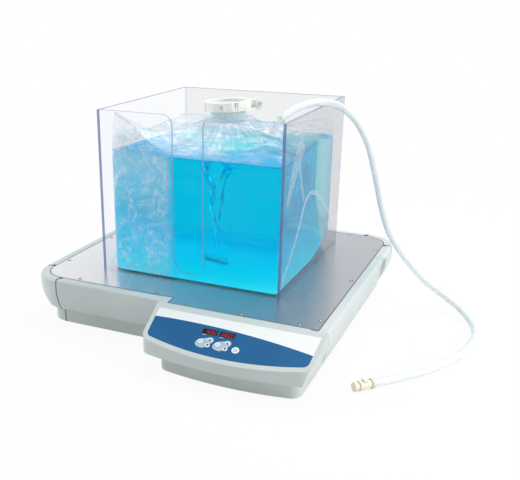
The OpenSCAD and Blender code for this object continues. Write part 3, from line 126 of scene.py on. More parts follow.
# Node helpers
class Shade:
    """A material and short ways to add nodes to it."""

    def __init__(self, name):
        self.material = bpy.data.materials.new(name)
        self.material.use_nodes = True
        self.tree = self.material.node_tree
        self.out = self.tree.nodes["Material Output"]
        self.bsdf = self.tree.nodes["Principled BSDF"]
        self.place = self.add("ShaderNodeTexCoord").outputs["Object"]

    def add(self, kind, inputs=None, **props):
        node = self.tree.nodes.new(kind)
        for k, v in props.items():
            setattr(node, k, v)
        for k, v in (inputs or {}).items():
            self.put(node.inputs[k], v)
        return node

    def put(self, socket, v):
        if isinstance(v, bpy.types.NodeSocket):
            self.tree.links.new(v, socket)
        else:
            socket.default_value = v

    def set(self, **inputs):
        for k, v in inputs.items():
            self.put(self.bsdf.inputs[k.replace("_", " ")], v)

    def math(self, op, a, b=0.0, c=0.0, clamp=False):
        node = self.add("ShaderNodeMath", operation=op, use_clamp=clamp)
        for i, v in enumerate((a, b, c)):
            self.put(node.inputs[i], v)
        return node.outputs[0]

    def dot(self, v, axis):
        node = self.add("ShaderNodeVectorMath", {0: v, 1: axis}, operation="DOT_PRODUCT")
        return node.outputs["Value"]

    def axes(self):
        return [self.dot(self.place, a) for a in ((1, 0, 0), (0, 1, 0), (0, 0, 1))]

    def along(self, axis):
        """How squarely the surface looks along an axis, either way, from 0 to 1."""
        return self.math("ABSOLUTE", self.dot(self.add("ShaderNodeNewGeometry").outputs["Normal"], axis))

    def ramp(self, v, low, high, to_low=0.0, to_high=1.0):
        node = self.add("ShaderNodeMapRange", {"Value": v, "From Min": low, "From Max": high,
                                               "To Min": to_low, "To Max": to_high})
        node.interpolation_type = "SMOOTHSTEP"
        return node.outputs["Result"]

    def noise(self, scale, detail=3.0, stretch=(1, 1, 1), rough=0.55, place=None, distort=0.0):
        moved = self.add("ShaderNodeVectorMath", {0: place or self.place, 1: stretch}, operation="MULTIPLY")
        node = self.add("ShaderNodeTexNoise", {"Vector": moved.outputs[0], "Scale": scale, "Detail": detail,
                                               "Roughness": rough, "Distortion": distort})
        return node.outputs["Fac"]

    def mix(self, fac, a, b):
        node = self.add("ShaderNodeMix", data_type="RGBA")
        self.put(node.inputs[0], fac)
        self.put(node.inputs[6], a)
        self.put(node.inputs[7], b)
        return node.outputs[2]

    def bump(self, height, strength, distance):
        node = self.add("ShaderNodeBump", {"Height": height, "Strength": strength, "Distance": distance})
        return node.outputs["Normal"]

    def facing(self):
        """How edge-on the surface is, from 0 to 1, for gloss on thin clear sheet."""
        return self.add("ShaderNodeLayerWeight", {"Blend": 0.5}).outputs["Facing"]

    def blend(self, fac, a, b):
        node = self.add("ShaderNodeMixShader")
        self.put(node.inputs[0], fac)
        self.tree.links.new(a, node.inputs[1])
        self.tree.links.new(b, node.inputs[2])
        return node.outputs[0]

    def clear(self, colour):
        return self.add("ShaderNodeBsdfTransparent", {"Color": colour}).outputs[0]

    def finish(self, shader):
        self.tree.links.new(shader, self.out.inputs["Surface"])
        return self.material


def rgb(r, g, b):
    """Linear colour from screen values of 0 to 255."""
    def one(c):
        c /= 255
        return c / 12.92 if c <= 0.04045 else ((c + 0.055) / 1.055) ** 2.4
    return (one(r), one(g), one(b), 1.0)


def moulded(name, colour, other, rough, grain=1400.0, depth=0.05, spread=9.0, **more):
    """Moulded plastic: a fine spark-eroded grain and a slight drift of tone and gloss."""
    s = Shade(name)
    tone = s.noise(spread, 2)
    fine = s.noise(grain, 2)
    s.set(Base_Color=s.mix(s.ramp(tone, 0.3, 0.7), colour, other),
          Roughness=s.ramp(s.noise(spread * 3, 3), 0.3, 0.7, rough - 0.05, rough + 0.06),
          Normal=s.bump(fine, depth, 0.0002), **more)
    return s.material


def metal(name, colour, rough, stretch, scale, depth):
    """Metal with fine brush lines along the axis that is stretched least."""
    s = Shade(name)
    lines = s.noise(scale, 4, stretch, 0.7)
    tone = s.noise(5.0, 2)
    dark = tuple(c * 0.88 for c in colour[:3]) + (1,)
    s.set(Base_Color=s.mix(s.ramp(lines, 0.35, 0.65), dark, colour), Metallic=1.0,
          Roughness=s.math("ADD", s.ramp(lines, 0.3, 0.7, rough - 0.03, rough + 0.03),
                           s.ramp(tone, 0.3, 0.7, -0.02, 0.02)),
          Normal=s.bump(lines, depth, 0.0001))
    return s.material


def dress(material, *names):
    for n in names:
        nodes[n].data.materials.clear()
        nodes[n].data.materials.append(material)


WELD_DIST = 0.001 * MM
SHARP = math.radians(40)


def break_edges(name, width, segments):
    """Joins a solid's faces and bevels its sharp edges by a width in millimetres."""
    nodes[name].modifiers.new("weld", "WELD").merge_threshold = WELD_DIST
    bevel = nodes[name].modifiers.new("edges", "BEVEL")
    bevel.width = width * MM
    bevel.segments = segments
    bevel.limit_method = "ANGLE"
    bevel.angle_limit = SHARP


def soften(width, *names, segments=3):
    """Rounds the edges of solids by a bevel of the given width in millimetres."""
    for n in names:
        break_edges(n, width, segments)
        for f in nodes[n].data.polygons:
            f.use_smooth = True
        nodes[n].modifiers.new("normals", "WEIGHTED_NORMAL").keep_sharp = True


def mesh_object(name, verts, faces, material, body, smooth_faces=True):
    data = bpy.data.meshes.new(name)
    data.from_pydata([tuple(v) for v in verts], [], [tuple(f) for f in faces])
    data.update()
    for f in data.polygons:
        f.use_smooth = smooth_faces
    obj = bpy.data.objects.new(name, data)
    scene.collection.objects.link(obj)
    data.materials.append(material)
    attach(obj, body)
    return obj


# Hose, in millimetres: its rise by steps from a point on the tank's right rim, and its fall to the table
RIM = (150, 44.5, 336)
RISE = [(-46, -48, -14), (-41, -38, -8), (-36, -28, -3), (-30, -15, 1.5), (-19, 4.5, 5), (-3.5, 22, 6.5),
        (14, 35.5, 2.5), (32, 44.5, -8.5)]
FALL = [(199.5, 95.5, 307.5), (215.5, 102, 276.5), (228.5, 107.5, 232), (244, 112, 172), (257.5, 121, 131),
        (279.5, 133.5, 93.5), (315, 146.5, 51), (350, 147, 27.5), (381, 130.5, 13.5), (403.5, 97.5, 6.5),
        (412.5, 53.5, 6), (407.5, 4.5, 6), (391.5, -42.5, 6), (367.5, -87, 6), (339.5, -122, 6),
        (319.5, -145.5, 6.5), (310, -156, 7.3), (302, -164.5, 7.3)]


def hose_line(steps):
    """The hose's line: a smooth curve through its places."""
    p = np.array([np.add(RIM, q) for q in RISE] + [np.array(q, float) for q in FALL]) * MM
    n = len(p) - 1
    out = []
    for i in range(n):
        b, c = p[i], p[i + 1]
        a = p[i - 1] if i > 0 else 2 * b - c
        d = p[i + 2] if i + 2 <= n else 2 * c - b
        for k in range(steps):
            s = k / steps
            out.append(b + s * (c - a) / 2 + s * s * (a - 2.5 * b + 2 * c - d / 2)
                       + s ** 3 * (1.5 * (b - c) + (d - a) / 2))
    out.append(p[n])
    return np.array(out)


def hose_material():
    s = Shade("hose_tubing")
    cloud = s.noise(25, 3)
    edge = s.facing()
    s.set(Base_Color=s.mix(s.ramp(edge, 0.1, 0.9), rgb(250, 252, 252), rgb(232, 240, 242)),
          Roughness=s.ramp(cloud, 0.3, 0.7, 0.22, 0.3), Normal=s.bump(s.noise(90, 2), 0.01, 0.0003))
    through = s.clear((0.93, 0.97, 0.97, 1))
    return s.finish(s.blend(s.ramp(edge, 0.0, 1.0, 0.6, 0.9), through, s.bsdf.outputs[0]))


line = hose_line(8)
curve = bpy.data.curves.new("drain_hose", "CURVE")
curve.dimensions = "3D"
curve.bevel_depth = 5.55 * MM
curve.bevel_resolution = 6
curve.use_fill_caps = True
spline = curve.splines.new("POLY")
spline.points.add(len(line) - 1)
for point, at in zip(spline.points, line):
    point.co = (*at, 1)
hose = bpy.data.objects.new("drain_hose", curve)
scene.collection.objects.link(hose)
curve.materials.append(hose_material())
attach(hose, "bag")
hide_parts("hose")


# Casing, steel and the rest of the base
casing = moulded("casing_grey", rgb(204, 212, 211), rgb(198, 206, 205), 0.45, Specular_IOR_Level=0.35)
dress(casing, "front_rail", "left_rail", "back_rail", "right_rail", "corner_front_left", "corner_back_left",
      "corner_back_right", "control_housing", "control_skirt")
dress(metal("screw_steel", (0.74, 0.74, 0.75, 1), 0.22, (1, 1, 1), 900, 0.05), "pan_screws",
      "bracket_screws", "clamp_hinge_pin", "clamp_bolt", "motor_shaft", "motor_bearings")
dress(metal("plate_screw_steel", (0.95, 0.95, 0.96, 1), 0.5, (1, 1, 1), 900, 0.05), "plate_screws")
dress(moulded("pan_paint", rgb(150, 152, 154), rgb(140, 142, 145), 0.5, 500, 0.12), "base_pan",
      "motor_bracket")
dress(moulded("foot_rubber", rgb(30, 30, 31), rgb(40, 40, 41), 0.75, 700, 0.2), "rubber_feet")
dress(moulded("board_green", rgb(20, 92, 52), rgb(28, 110, 60), 0.4, 300, 0.2, 120), "control_board",
      "power_board")
dress(moulded("socket_black", rgb(20, 20, 22), rgb(30, 30, 32), 0.45, 900, 0.1), "power_inlet")
dress(moulded("motor_black", rgb(38, 39, 42), rgb(48, 49, 52), 0.4, 600, 0.1), "motor_can")
dress(metal("motor_alloy", (0.6, 0.6, 0.62, 1), 0.35, (1, 1, 20), 40, 0.05), "motor_end_bell",
      "magnet_carrier")
dress(metal("copper_wire", (0.62, 0.3, 0.15, 1), 0.35, (1, 1, 40), 60, 0.3), "motor_stator")
dress(metal("rotor_iron", (0.25, 0.25, 0.27, 1), 0.5, (1, 1, 60), 40, 0.1), "motor_rotor", "drive_magnets")


def plate_material():
    """Satin steel with faint rolling lines, its colour painted lighter to the left as a painted reflection.
    """
    s = Shade("plate_steel")
    lines = s.ramp(s.noise(14, 4, (1, 60, 60), 0.7), 0.35, 0.65)
    x = s.dot(s.place, (1, 0, 0))
    # Painted reflection: the colour runs from light on the left to dark on the right across the plate, with a
    # slight wobble.
    drift = s.ramp(s.math("MULTIPLY_ADD", s.noise(3, 2), 0.06, x), -0.20, 0.24)
    tone = s.mix(drift, (0.78, 0.77, 0.80, 1), (0.42, 0.43, 0.46, 1))
    s.set(Base_Color=s.mix(s.math("MULTIPLY", lines, 0.04), tone, (0.4, 0.4, 0.42, 1)), Metallic=0.76,
          Roughness=s.math("MULTIPLY_ADD", lines, 0.03, 0.24), Normal=s.bump(lines, 0.004, 0.0001))
    return s.material


dress(plate_material(), "top_plate")
soften(1.2, "control_skirt", "front_rail", "right_rail", "left_rail", "back_rail", "corner_front_left",
       "corner_back_left", "corner_back_right")
soften(2.5, "control_housing", segments=4)
soften(0.3, "top_plate", "plate_screws", "rubber_feet", "power_inlet", segments=2)


# Painted shadow: dark strips laid in the joints round the plate and between the rails, standing in for the
# shade in those gaps.
def shadow_material():
    s = Shade("joint_shadow")
    s.set(Base_Color=s.mix(s.noise(300, 2), rgb(70, 70, 66), rgb(88, 88, 84)), Roughness=0.8,
          Specular_IOR_Level=0.1)
    return s.material


painted_joint_shadow = shadow_material()


def rim_line(name, node, way, width, lift=0.06 * MM, over_edge=False):
    """A painted shadow in the joint round a solid's outermost face along way: a dark strip outwards from the
    face's edge, or one laid over that edge."""
    bm = bmesh.new()
    bm.from_mesh(nodes[node].data)
    bmesh.ops.remove_doubles(bm, verts=bm.verts, dist=WELD_DIST)
    bm.normal_update()
    way = Vector(way)
    far = max(v.co.dot(way) for v in bm.verts)
    flat = {f for f in bm.faces
            if f.normal.dot(way) > 0.999 and abs(f.calc_center_median().dot(way) - far) < 0.01 * MM}
    strips = []
    for e in bm.edges:
        sides = [f for f in e.link_faces if f in flat]
        others = [f for f in e.link_faces if f not in flat]
        if len(sides) == 1 and len(others) == 1 and others[0].normal.dot(way) < 0.5:
            strips.append(([v.co.copy() for v in e.verts], others[0].normal.copy()))
    bm.free()
    verts, faces = [], []
    for (a, b), out in strips:
        k = len(verts)
        if over_edge:
            start, across = out * lift - way * width, 2 * way * width
        else:
            start, across = way * lift, out * width
        verts += [a + start, b + start, b + start + across, a + start + across]
        faces.append((k, k + 1, k + 2, k + 3))
    obj = mesh_object(name, verts, faces, painted_joint_shadow, "base", False)


rim_line("plate_joint", "top_plate", (0, 0, 1), 1.4 * MM)
RAIL_ENDS = [("front", "left", (-1, 0, 0)), ("left", "front", (0, -1, 0)), ("left", "back", (0, 1, 0)),
             ("back", "left", (-1, 0, 0)), ("back", "right", (1, 0, 0)), ("right", "back", (0, 1, 0))]
for rail, end, way in RAIL_ENDS:
    rim_line(f"joint_{rail}_{end}", rail + "_rail", way, 0.6 * MM, 0.12 * MM, over_edge=True)


# Membrane: a white band above and a blue field below, on slightly pebbled polyester
def membrane_material():
    s = Shade("membrane_print")
    c, n = math.cos(PANEL_TILT), math.sin(PANEL_TILT)
    u = s.math("SUBTRACT", s.dot(s.place, (1, 0, 0)), PANEL[0])
    v = s.math("SUBTRACT", s.dot(s.place, (0, c, n)), PANEL[1] * c + PANEL[2] * n)
    bend, lean, middle = -0.4774, -0.0674, -27.23 * MM
    edge = s.math("MULTIPLY_ADD", s.math("MULTIPLY_ADD", u, bend, lean), u, middle)
    white = s.ramp(s.math("SUBTRACT", v, edge), -0.00012, 0.00012)
    tone = s.noise(20, 2)
    blue = s.mix(s.ramp(tone, 0.3, 0.7), rgb(24, 91, 142), rgb(29, 96, 147))
    pale = s.mix(s.ramp(tone, 0.3, 0.7), rgb(236, 240, 239), rgb(240, 243, 242))
    s.set(Base_Color=s.mix(white, blue, pale), Roughness=s.ramp(s.noise(400, 2), 0.3, 0.7, 0.4, 0.5),
          Specular_IOR_Level=0.2, Normal=s.bump(s.noise(2200, 2), 0.06, 0.0002))
    return s.material


dress(membrane_material(), "membrane_panel")


def flat_piece(name, loops, height, material, body, thick=0.04):
    """A thin raised print on the panel: an outline and its holes in panel millimetres, filled and rimmed."""
    bm = bmesh.new()
    edges = []
    for loop in loops:
        vs = [bm.verts.new(panel_point(u, v, height)) for u, v in loop]
        edges += [bm.edges.new((vs[i], vs[(i + 1) % len(vs)])) for i in range(len(vs))]
    bmesh.ops.triangle_fill(bm, use_beauty=True, use_dissolve=False, edges=edges)
    up = panel_point(0, 0, 1) - panel_point(0, 0, 0)
    bmesh.ops.recalc_face_normals(bm, faces=bm.faces)
    for f in bm.faces:
        if f.normal.dot(up) < 0:
            f.normal_flip()
    top = list(bm.faces)
    made = bmesh.ops.extrude_face_region(bm, geom=top)
    moved = [g for g in made["geom"] if isinstance(g, bmesh.types.BMVert)]
    bmesh.ops.translate(bm, vec=up * thick, verts=moved)
    bmesh.ops.recalc_face_normals(bm, faces=bm.faces)
    data = bpy.data.meshes.new(name)
    bm.to_mesh(data)
    bm.free()
    obj = bpy.data.objects.new(name, data)
    scene.collection.objects.link(obj)
    data.materials.append(material)
    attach(obj, body)
    return obj


def circle(u, v, r, n, a0=0.0, a1=360.0):
    """Points on a circle, or on an arc from one angle to another with both its ends."""
    parts = n if abs(a1 - a0) >= 360 else n - 1
    angles = [math.radians(a0 + (a1 - a0) * i / parts) for i in range(n)]
    return [(u + r * math.cos(a), v + r * math.sin(a)) for a in angles]


def box(u0, v0, u1, v1):
    return [(u0, v0), (u1, v0), (u1, v1), (u0, v1)]


def blob_outline(i):
    """Outline of the pale field behind a group of keys: rounded lobes round its set key and two arrows."""
    su, sv = SET_KEYS[i]
    (au, av), (du, dv) = ARROWS[i]
    lobes = [((su - 0.2, sv - 2.6), (su + 4.5, sv - 3.6), 6.4), ((su, sv), (au - 0.5, av), 5.0),
             ((au, av), (au, av), 5.6), ((su + 4, sv - 3), (du - 2, dv + 1.5), 4.6)]
    mid = np.array((su + 6.5, sv - 0.6))

    def inside(p):
        for a, b, r in lobes:
            a, b = np.array(a), np.array(b)
            d = b - a
            t = 0 if d @ d == 0 else min(1, max(0, (p - a) @ d / (d @ d)))
            if np.linalg.norm(p - a - t * d) < r:
                return True
        return False

    turns = np.linspace(0, 2 * math.pi, 72, endpoint=False)
    ways = np.column_stack((np.cos(turns), np.sin(turns)))
    reach = []
    for way in ways:
        low, high = 0.0, 20.0
        for _ in range(24):
            half = (low + high) / 2
            low, high = (half, high) if inside(mid + half * way) else (low, half)
        reach.append(low)
    r = np.array(reach)
    for _ in range(2):
        r = (np.roll(r, 1) + 2 * r + np.roll(r, -1)) / 4
    return [tuple(p) for p in mid + r[:, None] * ways]


pale_print = moulded("pale_print", rgb(176, 200, 210), rgb(170, 195, 206), 0.38, 2200, 0.05)
white_print = moulded("white_print", rgb(225, 232, 235), rgb(218, 226, 230), 0.4, 2000, 0.04)
navy_print = moulded("navy_print", rgb(22, 66, 118), rgb(26, 72, 126), 0.4, 2000, 0.04)
grey_print = moulded("grey_print", rgb(128, 148, 162), rgb(120, 140, 156), 0.4, 2000, 0.04)
key_white = moulded("key_white", rgb(238, 242, 243), rgb(232, 237, 239), 0.36, 1500, 0.05)
KEYS = [f"key_{side}_{what}" for side in ("left", "right") for what in ("set", "up", "down")] + ["key_on_off"]
dress(key_white, *KEYS)
soften(0.35, *KEYS)
for i, side in enumerate(("left", "right")):
    (au, av), (du, dv) = ARROWS[i]
    seen = [circle(*SET_KEYS[i], 4.3, 36), circle(au, av, 3.8, 32)]
    field = flat_piece("key_field_" + side, [blob_outline(i)] + seen, PRINT_TOP, pale_print, "base")
    point_up = [(au - 2.5, av - 1.8), (au + 2.5, av - 1.8), (au, av + 2.4)]
    point_down = [(du - 2.5, dv + 1.8), (du, dv - 2.4), (du + 2.5, dv + 1.8)]
    ring = [circle(*SET_KEYS[i], 1.7, 32), circle(*SET_KEYS[i], 1.15, 32)]
    signs = (("arrow_up", [point_up], navy_print, "up"), ("arrow_down", [point_down], navy_print, "down"),
             ("set_sign", ring, grey_print, "set"))
    made = [flat_piece(f"{name}_{side}", loops, KEY_TOP, ink, f"key_{side}_{what}_body")
            for name, loops, ink, what in signs]
    mu, mv = DISPLAYS[i]
    mark = flat_piece("display_mark_" + side, [box(mu - 9.5, mv - 6.2, mu - 4.0, mv - 5.5)], PRINT_TOP,
                      white_print, "base")
pu, pv = POWER
open_ring = circle(pu, pv, 2.4, 30, 125, 415) + circle(pu, pv, 1.6, 30, 415, 125)
stroke_box = box(pu - 0.28, pv + 0.3, pu + 0.28, pv + 2.6)
for name, loop in (("power_sign", open_ring), ("power_stroke", stroke_box)):
    sign = flat_piece(name, [loop], KEY_TOP, grey_print, "key_on_off_body")


def lamp_material(name, colour, power):
    s = Shade(name)
    tone = s.noise(700, 2)
    glow = s.mix(s.ramp(tone, 0.3, 0.7), tuple(c * 0.85 for c in colour[:3]) + (1,), colour)
    s.set(Base_Color=glow, Roughness=0.4, Emission_Color=glow, Emission_Strength=power)
    return s.material


green_lamp = lamp_material("green_lamp", rgb(52, 96, 66), 0.05)
led = flat_piece("run_lamp", [circle(*RUN_LAMP, 0.7, 20)], LAMP_TOP, green_lamp, "base")


# Displays: dark lens and seven-segment digits
def display_material():
    s = Shade("display_lens")
    s.set(Base_Color=s.mix(s.noise(300, 2), rgb(20, 8, 11), rgb(28, 10, 14)), Roughness=0.3,
          Specular_IOR_Level=0.15, Normal=s.bump(s.noise(500, 2), 0.01, 0.0002))
    return s.material


dress(display_material(), "display_left", "display_right")
digit_red = lamp_material("digit_red", rgb(225, 36, 66), 0.75)
SEGMENTS = {"0": "abcdef", "1": "bc", "5": "afgcd"}


def digit_loops(figure, u, v):
    """Outlines of a figure's lit segments, slanted, with a small gap at each joint."""
    w, h, t, slant, gap = 2.5, 5.6, 0.46, 0.12, 0.32
    ends = {"a": ((0, h), (w, h)), "b": ((w, h), (w, h / 2)), "c": ((w, h / 2), (w, 0)),
            "d": ((0, 0), (w, 0)), "e": ((0, 0), (0, h / 2)), "f": ((0, h / 2), (0, h)),
            "g": ((0, h / 2), (w, h / 2))}
    loops = []
    for s in SEGMENTS[figure]:
        a, b = np.array(ends[s][0], float), np.array(ends[s][1], float)
        d = (b - a) / np.linalg.norm(b - a)
        n = np.array((-d[1], d[0])) * t / 2
        a, b = a + d * gap, b - d * gap
        pts = [a, a + d * t / 2 - n, b - d * t / 2 - n, b, b - d * t / 2 + n, a + d * t / 2 + n]
        loops.append([(u + p[0] + slant * p[1], v + p[1]) for p in pts])
    return loops


for i, (side, shown) in enumerate((("left", "1500"), ("right", "0000"))):
    u0, v0 = np.add(DISPLAYS[i], FIRST_DIGIT)
    parts = []
    for k, figure in enumerate(shown):
        for j, loop in enumerate(digit_loops(figure, u0 + k * DIGIT_PITCH, v0)):
            parts.append(flat_piece(f"digit_{side}_{k}_{j}", [loop], LENS_TOP, digit_red, "base", 0.03))
    with bpy.context.temp_override(active_object=parts[0], selected_editable_objects=parts):
        bpy.ops.object.join()
    parts[0].name = "digits_" + side


# Clear tank: glued sheets with a blue painted light on their open edges
# The last value is each sheet's see-through tint: lower on the right and back sheets, a painted shade.
SHEET_EDGES = {"left": ("x", "ends", 0.98), "right": ("x", "ends", 0.87), "front": ("y", "slot", 0.988),
               "back": ("y", "slot", 0.93), "floor": ("z", "glued", 0.98)}


def sheet_material(name, axis, edges, tone):
    """Clear sheet across an axis: bare on its faces, blue painted light on its top and on its open ends or
    its slot.
    """
    s = Shade(name)
    x, y, z = s.axes()
    flat = s.along({"x": (1, 0, 0), "y": (0, 1, 0), "z": (0, 0, 1)}[axis])
    open_edge = s.ramp(z, TANK_TOP - 1.5 * MM, TANK_TOP - 0.5 * MM, 0, 0.95)
    near, far = TANK_MID - TANK_HALF, TANK_MID + TANK_HALF
    if edges == "ends":
        ends = s.math("ADD", s.ramp(y, near + 0.4 * MM, near + 1.0 * MM, 1.0, 0.0),
                      s.ramp(y, far - 1.0 * MM, far - 0.4 * MM, 0.0, 0.25))
        open_edge = s.math("MAXIMUM", open_edge, ends)
    elif edges == "slot":
        beside = s.ramp(s.math("ABSOLUTE", x), 0.07, 0.08, 0.8, 0.0)
        open_edge = s.math("MAXIMUM", open_edge, s.math("MULTIPLY", beside, s.ramp(z, 0.089, 0.092)))
    # Painted light: blue on the top and open edges, full at the sheets' front ends and faint at their back
    # ends.
    edge = s.math("MULTIPLY", s.ramp(flat, 0.8, 0.95, 1.0, 0.0), open_edge)
    gloss = s.math("MULTIPLY_ADD", s.math("POWER", s.facing(), 5.0), 0.25, 0.002, True)
    scuff = s.ramp(s.noise(24, 5, rough=0.7), 0.5, 0.85, 0.0, 0.004)
    s.set(Base_Color=s.mix(edge, (0.95, 0.96, 1, 1), rgb(104, 124, 168)),
          Roughness=s.ramp(edge, 0, 1, 0.04, 0.3), Normal=s.bump(s.noise(12, 2), 0.02, 0.002))
    fac = s.math("ADD", s.math("MAXIMUM", gloss, s.math("MULTIPLY", edge, 0.75)), scuff, clamp=True)
    # Painted shade: the right and back sheets' lower tones darken what is seen through them.
    tint = s.mix(edge, (tone, tone + 0.003, tone + 0.009, 1), (0.68, 0.77, 0.92, 1))
    return s.finish(s.blend(fac, s.clear(tint), s.bsdf.outputs[0]))


def draw_in(depth, name):
    """Breaks a sheet's edges and draws its faces in by a hair, so that faces that touch don't flicker."""
    break_edges(name, 0.45, 1)
    hair = nodes[name].modifiers.new("hair", "DISPLACE")
    hair.strength = -depth * MM
    hair.mid_level = 0


for side, (axis, edges, tone) in SHEET_EDGES.items():
    dress(sheet_material("clear_sheet_" + side, axis, edges, tone), f"tank_{side}_panel")
    draw_in(0.12, f"tank_{side}_panel")


# Mixing bag: the radii of its upright corners, from the front right one on
CORNERS = np.array((8, 28, 28, 28)) * MM


def plan(n, half, inset=0.0):
    """Points and outward ways on a rounded square, anticlockwise from the left of its front, with the bag's
    corners less an inset."""
    radii = CORNERS - inset
    sides = [2 * half - radii[q - 1] - radii[q] for q in range(4)]
    arcs = radii * math.pi / 2
    total = sum(sides) + sum(arcs)
    pts, ways = [], []
    for i in range(n):
        d, q = i / n * total, 0
        while d >= sides[q] + arcs[q]:
            d -= sides[q] + arcs[q]
            q += 1
        if d < sides[q]:
            p, w = np.array((radii[q - 1] - half + d, -half)), np.array((0.0, -1.0))
        else:
            a = (d - sides[q]) / radii[q] - math.pi / 2
            w = np.array((math.cos(a), math.sin(a)))
            p = np.array((half - radii[q], radii[q] - half)) + radii[q] * w
        c, k = [(1, 0), (0, 1), (-1, 0), (0, -1)][q]
        pts.append((c * p[0] - k * p[1], k * p[0] + c * p[1]))
        ways.append((c * w[0] - k * w[1], k * w[0] + c * w[1]))
    return np.array(pts), np.array(ways)


# The fold in the bag's sides, and the radii its foot turns up by
STRAIGHT = 115 * MM
FOLD_AT = STRAIGHT * 2 / 3
FOLD_IN = 13 * MM
FOLD_FOOT = 109.8 * MM
FOLD_TOP = FOLD_FOOT + 78 * MM
FRONT_TURN = 2.5 * MM
BACK_TURN = 24 * MM


def gusset(p):
    """The bag's sides are folded in along a line nearer their backs, from the seams' meeting upwards."""
    x, y, z = p[:, 0], p[:, 1], p[:, 2]
    tent = np.minimum((y + STRAIGHT) / (FOLD_AT + STRAIGHT), (STRAIGHT - y) / (STRAIGHT - FOLD_AT))
    level = np.clip((z - FOLD_FOOT) / (FOLD_TOP - FOLD_FOOT), 0, 1)
    side = smooth(0.095, 0.135, np.abs(x))
    q = p.copy()
    q[:, 0] -= np.sign(x) * FOLD_IN * np.clip(tent, 0, 1) * level * side
    return q


def side_x(y, z, lift):
    """How far right the bag's right face lies at a place along the tank and a height, and a lift off it."""
    q = gusset(np.array([(FILM_HALF, y - TANK_MID, z)]))
    return q[0, 0] + lift


def close_rings(rings, n, start, end):
    """Faces of a stack of rings of n points, with a middle point at its start and, if given, at its end."""
    faces = []
    for i in range(len(rings) - 1):
        for k in range(n):
            a, b = i * n + k, i * n + (k + 1) % n
            faces.append((a, b, b + n, a + n))
    faces += [(start, (k + 1) % n, k) for k in range(n)]
    if end is not None:
        last = (len(rings) - 1) * n
        faces += [(end, last + k, last + (k + 1) % n) for k in range(n)]
    return faces


def foot_rings(square, ways, low):
    """Rings of the bag's bottom: flat, then turned up, by a small radius in front and a larger one behind."""
    turn = FRONT_TURN + (BACK_TURN - FRONT_TURN) * smooth(0.020, 0.129, square[:, 1])
    n = len(square)
    start = square - ways * turn[:, None]
    rings = [np.column_stack((start * s, np.full(n, low))) for s in (0.05, 0.3, 0.6, 0.85)]
    for a in np.radians(np.linspace(0, 90, 8)):
        xy = square - ways * (turn * (1 - math.sin(a)))[:, None]
        rings.append(np.column_stack((xy, low + turn * (1 - math.cos(a)))))
    return rings


def wall_rings(square, low, high, steps):
    """Rings of the bag's walls, from its turned foot to a level height."""
    start = foot_rings(square, np.zeros_like(square), low)[-1][:, 2]
    return [np.column_stack((square, start * (1 - t) + high * t)) for t in np.linspace(0, 1, steps)[1:]]


def waves(p, scale, stretch=(1, 1, 1), seed=0.0):
    """Smooth noise about 0 at each point."""
    places = p * np.array(stretch) * scale + np.array((seed, 0, 0))
    return np.array([noise.noise(Vector(q)) for q in places])


def crumple(p, scale, stretch=(1, 1, 1), seed=0.0):
    """Ridged noise up to 1 at each point."""
    return 1 - 2 * np.abs(waves(p, scale, stretch, seed))


def outward(p):
    """Level ways from the bag's middle to each point."""
    return p[:, :2] / np.maximum(np.linalg.norm(p[:, :2], axis=1), 1e-6)[:, None]


def at_wall(p, half):
    """1 on the walls of a square of the given half width, falling to 0 a little inside them."""
    return smooth(0.97, 1.0, np.maximum(np.abs(p[:, 0]), np.abs(p[:, 1])) / half)


def hill(x, y, mid, spread):
    """A bell of height 1 at mid."""
    return np.exp(-((x - mid[0]) ** 2 + (y - mid[1]) ** 2) / (2 * spread * spread))


def left_front(p):
    """How far a point lies in the crumpled left part of the bag's front."""
    return smooth(-0.020, -0.050, p[:, 0]) * smooth(-0.02, -0.08, p[:, 1])


# The vortex: its mouth in the liquid's surface and its tip over the stirring bar
MOUTH_R = 42 * MM
MOUTH_DIP = 6 * MM
TIP_R = 2.2 * MM
TIP_Z = 0.1005
LIP = 1.2 * MM


def liquid_rings(n):
    """Rings of the liquid's foot, walls and surface, and of the vortex down to its tip."""
    square, ways = plan(n, LIQUID_HALF, LIP)
    rings = foot_rings(square, ways, LIQUID_FOOT) + wall_rings(square, LIQUID_FOOT, WATER - 1.5 * MM, 40)
    lip, _ = plan(n, LIQUID_HALF - LIP, 2 * LIP)
    rings.append(np.column_stack((lip, np.full(n, WATER))))
    angle = np.arctan2(square[:, 1], square[:, 0])
    ring_at = np.column_stack((np.cos(angle), np.sin(angle)))
    for s in np.linspace(0, 1, 16)[1:]:
        xy = lip * (1 - s) + ring_at * MOUTH_R * s
        rad = np.linalg.norm(xy, axis=1)
        dip = MOUTH_DIP * np.exp(-(rad - MOUTH_R) / 0.016)
        ripple = 0.0007 * np.sin(3 * angle + rad * 150) * s
        rings.append(np.column_stack((xy, WATER - dip + ripple)))
    top = WATER - MOUTH_DIP
    for s in np.linspace(1, 0, 34)[1:]:
        rad = TIP_R + (MOUTH_R - TIP_R) * (0.32 * s + 0.68 * s ** 4.2)
        z = TIP_Z + (top - TIP_Z) * s
        rib = 1 + (0.10 + 0.12 * (1 - s)) * np.sin(2 * angle + 15 * s) + 0.06 * np.sin(5 * angle - 22 * s)
        sway = np.array((2.2 * math.sin(9 * s), 1.8 * math.cos(7 * s))) * MM * (1 - s) * 1.2
        rings.append(np.column_stack((ring_at * (rad * rib)[:, None] + sway, np.full(n, z))))
    return rings


